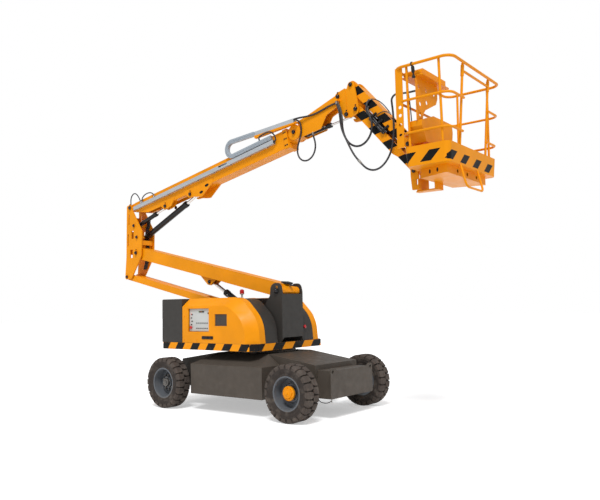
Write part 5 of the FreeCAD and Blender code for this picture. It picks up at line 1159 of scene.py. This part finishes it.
class LIFT_OT_chain(bpy.types.Operator):
    """Link pins and side plates of the drag chain, and the trays' clips"""
    bl_idname = "lift.chain"
    bl_label = "Drag chain"

    def execute(self, context):
        bend, level = CHAIN_BEND
        path = [(bend + 0.026 + LINK_PITCH * i, level - CHAIN_RADIUS, 0.0) for i in range(14)]
        for i in range(9):
            run = 0.04 + LINK_PITCH * i
            path.append((bend + run, level + CHAIN_RADIUS - run * math.tan(CHAIN_FALL), -CHAIN_FALL))
        for i in range(7):
            angle = math.radians(103 + 25.7 * i)
            path.append((bend + CHAIN_RADIUS * math.cos(angle), level + CHAIN_RADIUS * math.sin(angle),
                         angle + math.pi / 2))
        plates = []
        rivets = []
        for along, across, tilt in path:
            place = boom_place(along, across, CHAIN_FACE - 0.0012)
            way = BOOM_LINE * math.cos(tilt) + BOOM_UP * math.sin(tilt)
            up = BOOM_UP * math.cos(tilt) - BOOM_LINE * math.sin(tilt)
            plates.append((place, Matrix((way, up, way.cross(up))).transposed().to_euler()))
            for shift in (0.012, -0.012):
                rivets.append((place + NEAR * 0.001 + way * shift, aim(NEAR)))
        repeated("chain_links", chain_link, plates, "chain_zinc", "upper_boom")
        repeated("chain_rivets", rivet, rivets, "chain_dark", "upper_boom", 0.0042)
        bolts = []
        maker = Maker()
        for i in range(9):
            along = 0.2 + i * 0.36
            bolts.append((boom_place(along, -0.039, -0.142), aim(NEAR)))
            maker.block(boom_place(along, -0.073, -0.118), (0.03, 0.046, 0.006),
                        (0.0, -BOOM_ANGLE, 0.0), 0.0015)
        maker.done("tray_clips", "tray_silver", "upper_boom")
        repeated("tray_rivets", rivet, bolts, "tray_silver", "upper_boom", 0.006)
        return {"FINISHED"}


# Outer boom section: middle and half height across the boom, collar face and height.
BOOM_MIDDLE = -0.064
BOOM_HALF = 0.125
COLLAR_FACE = 0.109
COLLAR_RISE = 0.014
COLLAR_SCREWS = (3.398, 3.43)
WELD_RADIUS = 0.0025


class LIFT_OT_boom(bpy.types.Operator):
    """Weld seams and collar screws on the arms"""
    bl_idname = "lift.boom"
    bl_label = "Boom fittings"

    def execute(self, context):
        rows = []
        for along in COLLAR_SCREWS:
            for side in (-1, 1):
                for across in (-0.09, 0.0, 0.09):
                    rows.append((boom_place(along, BOOM_MIDDLE + across, side * COLLAR_FACE),
                                 aim(FAR * side, 0.3)))
                top = boom_place(along, BOOM_MIDDLE + BOOM_HALF + COLLAR_RISE, side * 0.05)
                rows.append((top, aim(BOOM_UP, 0.1)))
        repeated("collar_screws", hex_bolt, rows, "pin_dark", "upper_boom",
                 context.scene.lift_sizes.bolt * 0.8)
        maker = Maker()
        for side in (-1, 1):
            for across, start in ((BOOM_HALF, 0.1), (-BOOM_HALF, 0.48)):
                ends = [boom_place(along, BOOM_MIDDLE + across, side * 0.0945)
                        for along in (start, 3.375)]
                maker.tube(straight(*ends, 12), WELD_RADIUS, 8)
        maker.done("boom_welds", "boom_orange", "upper_boom")
        line = (RISER_END - TOWER_PIN).normalized()
        over = Vector((line.z, 0.0, -line.x))
        maker = Maker()
        for side in (-1, 1):
            for lift, stop in ((0.0925, 3.0), (-0.0925, 1.1)):
                foot = TOWER_PIN + over * lift + FAR * (side * 0.0995)
                maker.tube(straight(foot + line * 0.16, foot + line * stop, 10), WELD_RADIUS, 8)
        maker.done("riser_welds", "boom_orange", "lower_boom")
        return {"FINISHED"}


def seat(node, x, z):
    """The point of a solid's near side behind a place in the side view."""
    found, point, _, _ = frame["nodes"][node].ray_cast(Vector((x, -0.4, z)), FAR)
    if not found:
        raise RuntimeError("nothing of %s at %s, %s" % (node, x, z))
    return point


# Rows of points and turned shapes of the small fittings.
BUNDLE_START = Vector((1.735, -0.1185, 3.69))
ARM_ELBOW = [Vector((x, -0.1185, z)) for x, z in (
    (1.744, 3.876), (1.715, 3.852), (1.699, 3.81), (1.697, 3.765), (1.706, 3.722), (1.735, 3.688))]
ELBOW_RIB = ((0.0, -0.004), (0.014, -0.004), (0.014, 0.004), (0.0, 0.004))
SLEEVE_RIB = ((0.0, -0.003), (0.0172, -0.003), (0.0172, 0.003), (0.0, 0.003))
RAIL_PLUG = ((0.0, -0.012), (0.007, -0.012), (0.008, 0.004), (0.016, 0.01), (0.019, 0.02),
             (0.019, 0.066), (0.015, 0.078), (0.008, 0.084), (0.0075, 0.1), (0.011, 0.104),
             (0.02, 0.128), (0.02, 0.136), (0.0, 0.138))
RAIL_CLIP = ((0.0215, -0.007), (0.026, -0.006), (0.026, 0.006), (0.0215, 0.007), (0.0215, -0.007))
KNOB_STEM = ((0.0, 0.0), (0.008, 0.0), (0.008, 0.014), (0.013, 0.016), (0.013, 0.024), (0.0, 0.026))


class LIFT_OT_fittings(bpy.types.Operator):
    """Hose bundle on the arms, sleeves, guards, knobs and the plug on the rail"""
    bl_idname = "lift.fittings"
    bl_label = "Small fittings"

    def execute(self, context):
        self.on_jib()
        self.slots()
        self.on_riser()
        self.on_rail()
        return {"FINISHED"}

    def on_jib(self):
        """Hose bundle with its clips, ribbed elbow, and ribbed sleeve of the hanging hose."""
        maker = Maker()
        for shift, low, count in ((0.0, 0.0, 7), (-0.027, 0.04, 6)):
            first = BUNDLE_START + JIB_UP * shift + JIB_LINE * low
            maker.tube([first + JIB_LINE * (0.06 * i) + JIB_UP * (0.004 * math.sin(i * 1.3))
                        for i in range(count)], 0.0125, 14)
        maker.done("arm_bundle", "hose_rubber", "jib_arm_top")
        maker = Maker()
        turn = (0.0, JIB_ANGLE, 0.0)
        for along in (0.06, 0.19, 0.31):
            place = BUNDLE_START + JIB_LINE * along
            maker.block(place, (0.03, 0.029, 0.09), turn, 0.003)
            maker.block(place + JIB_UP * 0.057 + FAR * 0.0115, (0.03, 0.017, 0.036), turn, 0.002)
        maker.done("arm_clips", "moulded_black", "jib_arm_top")
        maker = Maker()
        maker.tube(ARM_ELBOW, 0.0125, 16)
        for place, ahead in zip(ARM_ELBOW[1:-1], ARM_ELBOW[2:]):
            maker.turned(place, ahead - place, ELBOW_RIB, 18)
        maker.done("arm_sleeve", "sleeve_grey", "jib_arm_top")
        maker = Maker()
        route = [Vector(point) for point in HOSES[0][-1][1:6]]
        maker.tube(route, 0.0155, 16)
        for point, ahead in zip(route, route[1:]):
            for share in (0.2, 0.5, 0.8):
                maker.turned(point.lerp(ahead, share), ahead - point, SLEEVE_RIB, 18)
        maker.done("hose_sleeve", "sleeve_grey", "jib_head")

    def slots(self):
        """Dark ovals of painted shade in the slots of the boom's belly plate and the basket's cradle: flat
        sheets for the shade inside the holes.
        """
        depth = 0.0016
        maker = Maker()
        for x, z, half in ((-1.1724, 3.1992, 0.0425), (-1.2933, 3.1076, 0.04)):
            maker.oval(seat("upper_boom", x, z), BOOM_LINE * half, BOOM_UP * 0.021, NEAR, depth)
        maker.done("belly_slots", "recess_dark", "upper_boom")
        maker = Maker()
        way = Vector((-0.32, -0.95, 0.0)).normalized()
        aside = Vector((way.y, -way.x, 0.0))
        for x, y in ((2.688, -0.4444), (2.796, -0.4807)):
            maker.oval(Vector((x, y, 2.79)) + way * 0.0005, aside * 0.014, UP * 0.024, way, depth)
        maker.done("cradle_slots", "recess_dark", "basket")

    def on_riser(self):
        """Guard over the riser's foot, with two straps round the pin."""
        maker = Maker()
        maker.block(TOWER_PIN + UP * 0.113, (0.09, 0.15, 0.02), (0.0, 0.25, 0.0), 0.004)
        for degrees in (72, 52):
            angle = math.radians(degrees)
            spoke = Vector((math.cos(angle), 0.0, math.sin(angle)))
            maker.block(TOWER_PIN + spoke * 0.105, (0.055, 0.05, 0.008),
                        (0.0, math.pi / 2 - angle, 0.0), 0.002)
        maker.done("foot_guard", "moulded_black", "lower_boom")

    def on_rail(self):
        """Plug that hangs from the top rail, clamp knobs and the small boxes beside them."""
        maker = Maker()
        maker.turned((2.636, -0.66, 3.925), (0.08, 0.0, -1.0), RAIL_PLUG, 20)
        maker.turned((2.632, -0.667, 3.94), FRONT, RAIL_CLIP, 24)
        maker.done("rail_plug", "moulded_black", "basket")
        maker = Maker()
        for x, y, z in ((2.424, -0.626, 3.322), (2.428, -0.622, 3.213)):
            maker.turned((x, y + 0.012, z), NEAR, KNOB_STEM, 16)
            for turn in (0.2, 1.25, 2.3):
                maker.block((x, y - 0.008, z), (0.046, 0.01, 0.012), (0.0, turn, 0.0), 0.003)
        maker.block((2.474, -0.47, 3.872), (0.014, 0.14, 0.05), bevel=0.004)
        maker.block((2.47, -0.35, 3.875), (0.02, 0.04, 0.03), bevel=0.004)
        maker.done("rail_knobs", "moulded_black", "basket")


# Controls on the basket's console: places and lean of the levers, and turned shapes.
LEVERS = ((2.56, -0.5, 0.15), (2.56, -0.36, -0.1), (2.57, -0.24, 0.05))
LEVER_BOOT = ((0.0, 0.0), (0.03, 0.0), (0.026, 0.006), (0.028, 0.01), (0.02, 0.014), (0.022, 0.018),
              (0.014, 0.022), (0.009, 0.03), (0.008, 0.034), (0.0, 0.034))
CONSOLE_TOGGLE = ((0.0, 0.0), (0.008, 0.0), (0.008, 0.003), (0.0035, 0.005), (0.003, 0.02),
                  (0.004, 0.023), (0.0, 0.025))
CONSOLE_STOP = ((0.0, 0.0), (0.012, 0.0), (0.012, 0.01), (0.021, 0.014), (0.022, 0.022),
                (0.015, 0.028), (0.0, 0.03))


class LIFT_OT_console(bpy.types.Operator):
    """Joysticks, switches and the stop button on the basket's console"""
    bl_idname = "lift.console"
    bl_label = "Console"

    def execute(self, context):
        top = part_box("console_post")[1][2]
        maker = Maker()
        for x, y, tilt in LEVERS:
            maker.turned((x, y, top - 0.002), (tilt, 0.0, 1.0), LEVER_BOOT, 20)
        maker.block((2.55, -0.1, top + 0.008), (0.05, 0.07, 0.03), bevel=0.004)
        maker.done("console_boots", "moulded_black", "basket")
        maker = Maker()
        for i in range(5):
            maker.turned((2.51, -0.56 + 0.03 * i, top - 0.001), UP, CONSOLE_TOGGLE, 12)
        maker.done("console_switches", "lever_pale", "basket")
        maker = Maker()
        maker.turned((2.64, -0.3, top - 0.001), UP, CONSOLE_STOP, 24)
        maker.done("console_stop", "button_red", "basket")
        return {"FINISHED"}


# Slots in the knuckle's cheeks as x from, x to, z from, z to; the cheek from the middle plane.
KNUCKLE_SLOTS = ((-2.953, -2.893, 2.5225, 2.657), (-2.985, -2.915, 2.206, 2.3435))
KNUCKLE_CHEEK = (0.105, 0.145)
KNUCKLE_LINE = ((-2.93, 2.02), (-2.9, 2.1), (-2.87, 2.2), (-2.86, 2.3), (-2.865, 2.4), (-2.88, 2.5),
                (-2.885, 2.6), (-2.87, 2.7), (-2.84, 2.78), (-2.83, 2.85))


class LIFT_OT_knuckle(bpy.types.Operator):
    """Knuckle with the slots in its cheeks and the lines between them"""
    bl_idname = "lift.knuckle"
    bl_label = "Knuckle"

    def execute(self, context):
        cut_copy("knuckle", [slab(window, side, *KNUCKLE_CHEEK) for window in KNUCKLE_SLOTS
                             for side in (-1, 1)], "knuckle_shell")
        maker = Maker()
        for shift in (0.0, 0.024, 0.048, 0.072):
            maker.tube([(x + shift, 0.105, z) for x, z in KNUCKLE_LINE], 0.008, 10)
        maker.done("knuckle_lines", "hose_rubber", "knuckle")
        return {"FINISHED"}


class LIFT_OT_chassis(bpy.types.Operator):
    """Folds of the chassis skirts and bolts of the slew ring"""
    bl_idname = "lift.chassis"
    bl_label = "Chassis fittings"

    def execute(self, context):
        maker = Maker()
        for y in (-0.7955, 0.7955):
            for z in (0.6165, 0.2275):
                maker.tube(straight(Vector((-0.768, y, z)), Vector((0.512, y, z)), 8), 0.003, 8)
        maker.done("skirt_folds", "chassis_grey", "chassis")
        slew_centre = Vector((-0.128, 0.0, 0.752))
        count = 20
        rows = []
        for angle, spoke in spokes(count, math.pi / count):
            rows.append((slew_centre + Vector((spoke.x, spoke.z, 0.0)) * 0.447, (0.0, 0.0, angle)))
        repeated("slew_bolts", hex_bolt, rows, "dark_steel", "chassis", context.scene.lift_sizes.bolt)
        return {"FINISHED"}


class LIFT_PT_panel(bpy.types.Panel):
    """Sidebar panel with the pieces of the lift"""
    bl_idname = "LIFT_PT_panel"
    bl_label = "Boom Lift"
    bl_space_type = "VIEW_3D"
    bl_region_type = "UI"
    bl_category = "Boom Lift"

    def draw(self, context):
        for name in ("lift_paints", "lift_sizes", "lift_stage"):
            group = getattr(context.scene, name)
            box = self.layout.box()
            for key in group.__annotations__:
                box.prop(group, key)
        column = self.layout.column()
        for operator in OPERATORS:
            column.operator(operator.bl_idname)


OPERATORS = (
    LIFT_OT_stage, LIFT_OT_paint, LIFT_OT_hoses, LIFT_OT_tyres, LIFT_OT_wheels, LIFT_OT_hoods,
    LIFT_OT_panel, LIFT_OT_beacon, LIFT_OT_pins, LIFT_OT_cylinders, LIFT_OT_chain, LIFT_OT_boom,
    LIFT_OT_console, LIFT_OT_chassis, LIFT_OT_fittings, LIFT_OT_knuckle,
)
CLASSES = (LiftPaints, LiftSizes, LiftStage) + OPERATORS + (LIFT_PT_panel,)


def register():
    """Add the classes and the scene's settings."""
    for item in CLASSES:
        bpy.utils.register_class(item)
    bpy.types.Scene.lift_paints = bpy.props.PointerProperty(type=LiftPaints)
    bpy.types.Scene.lift_sizes = bpy.props.PointerProperty(type=LiftSizes)
    bpy.types.Scene.lift_stage = bpy.props.PointerProperty(type=LiftStage)


def unregister():
    """Take the classes and settings out again."""
    del bpy.types.Scene.lift_stage
    del bpy.types.Scene.lift_sizes
    del bpy.types.Scene.lift_paints
    for item in reversed(CLASSES):
        bpy.utils.unregister_class(item)


def main():
    """Build every piece."""
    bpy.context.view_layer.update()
    register()
    for operator in OPERATORS:
        group, name = operator.bl_idname.split(".")
        getattr(getattr(bpy.ops, group), name)()


if __name__ == "__main__":
    main()
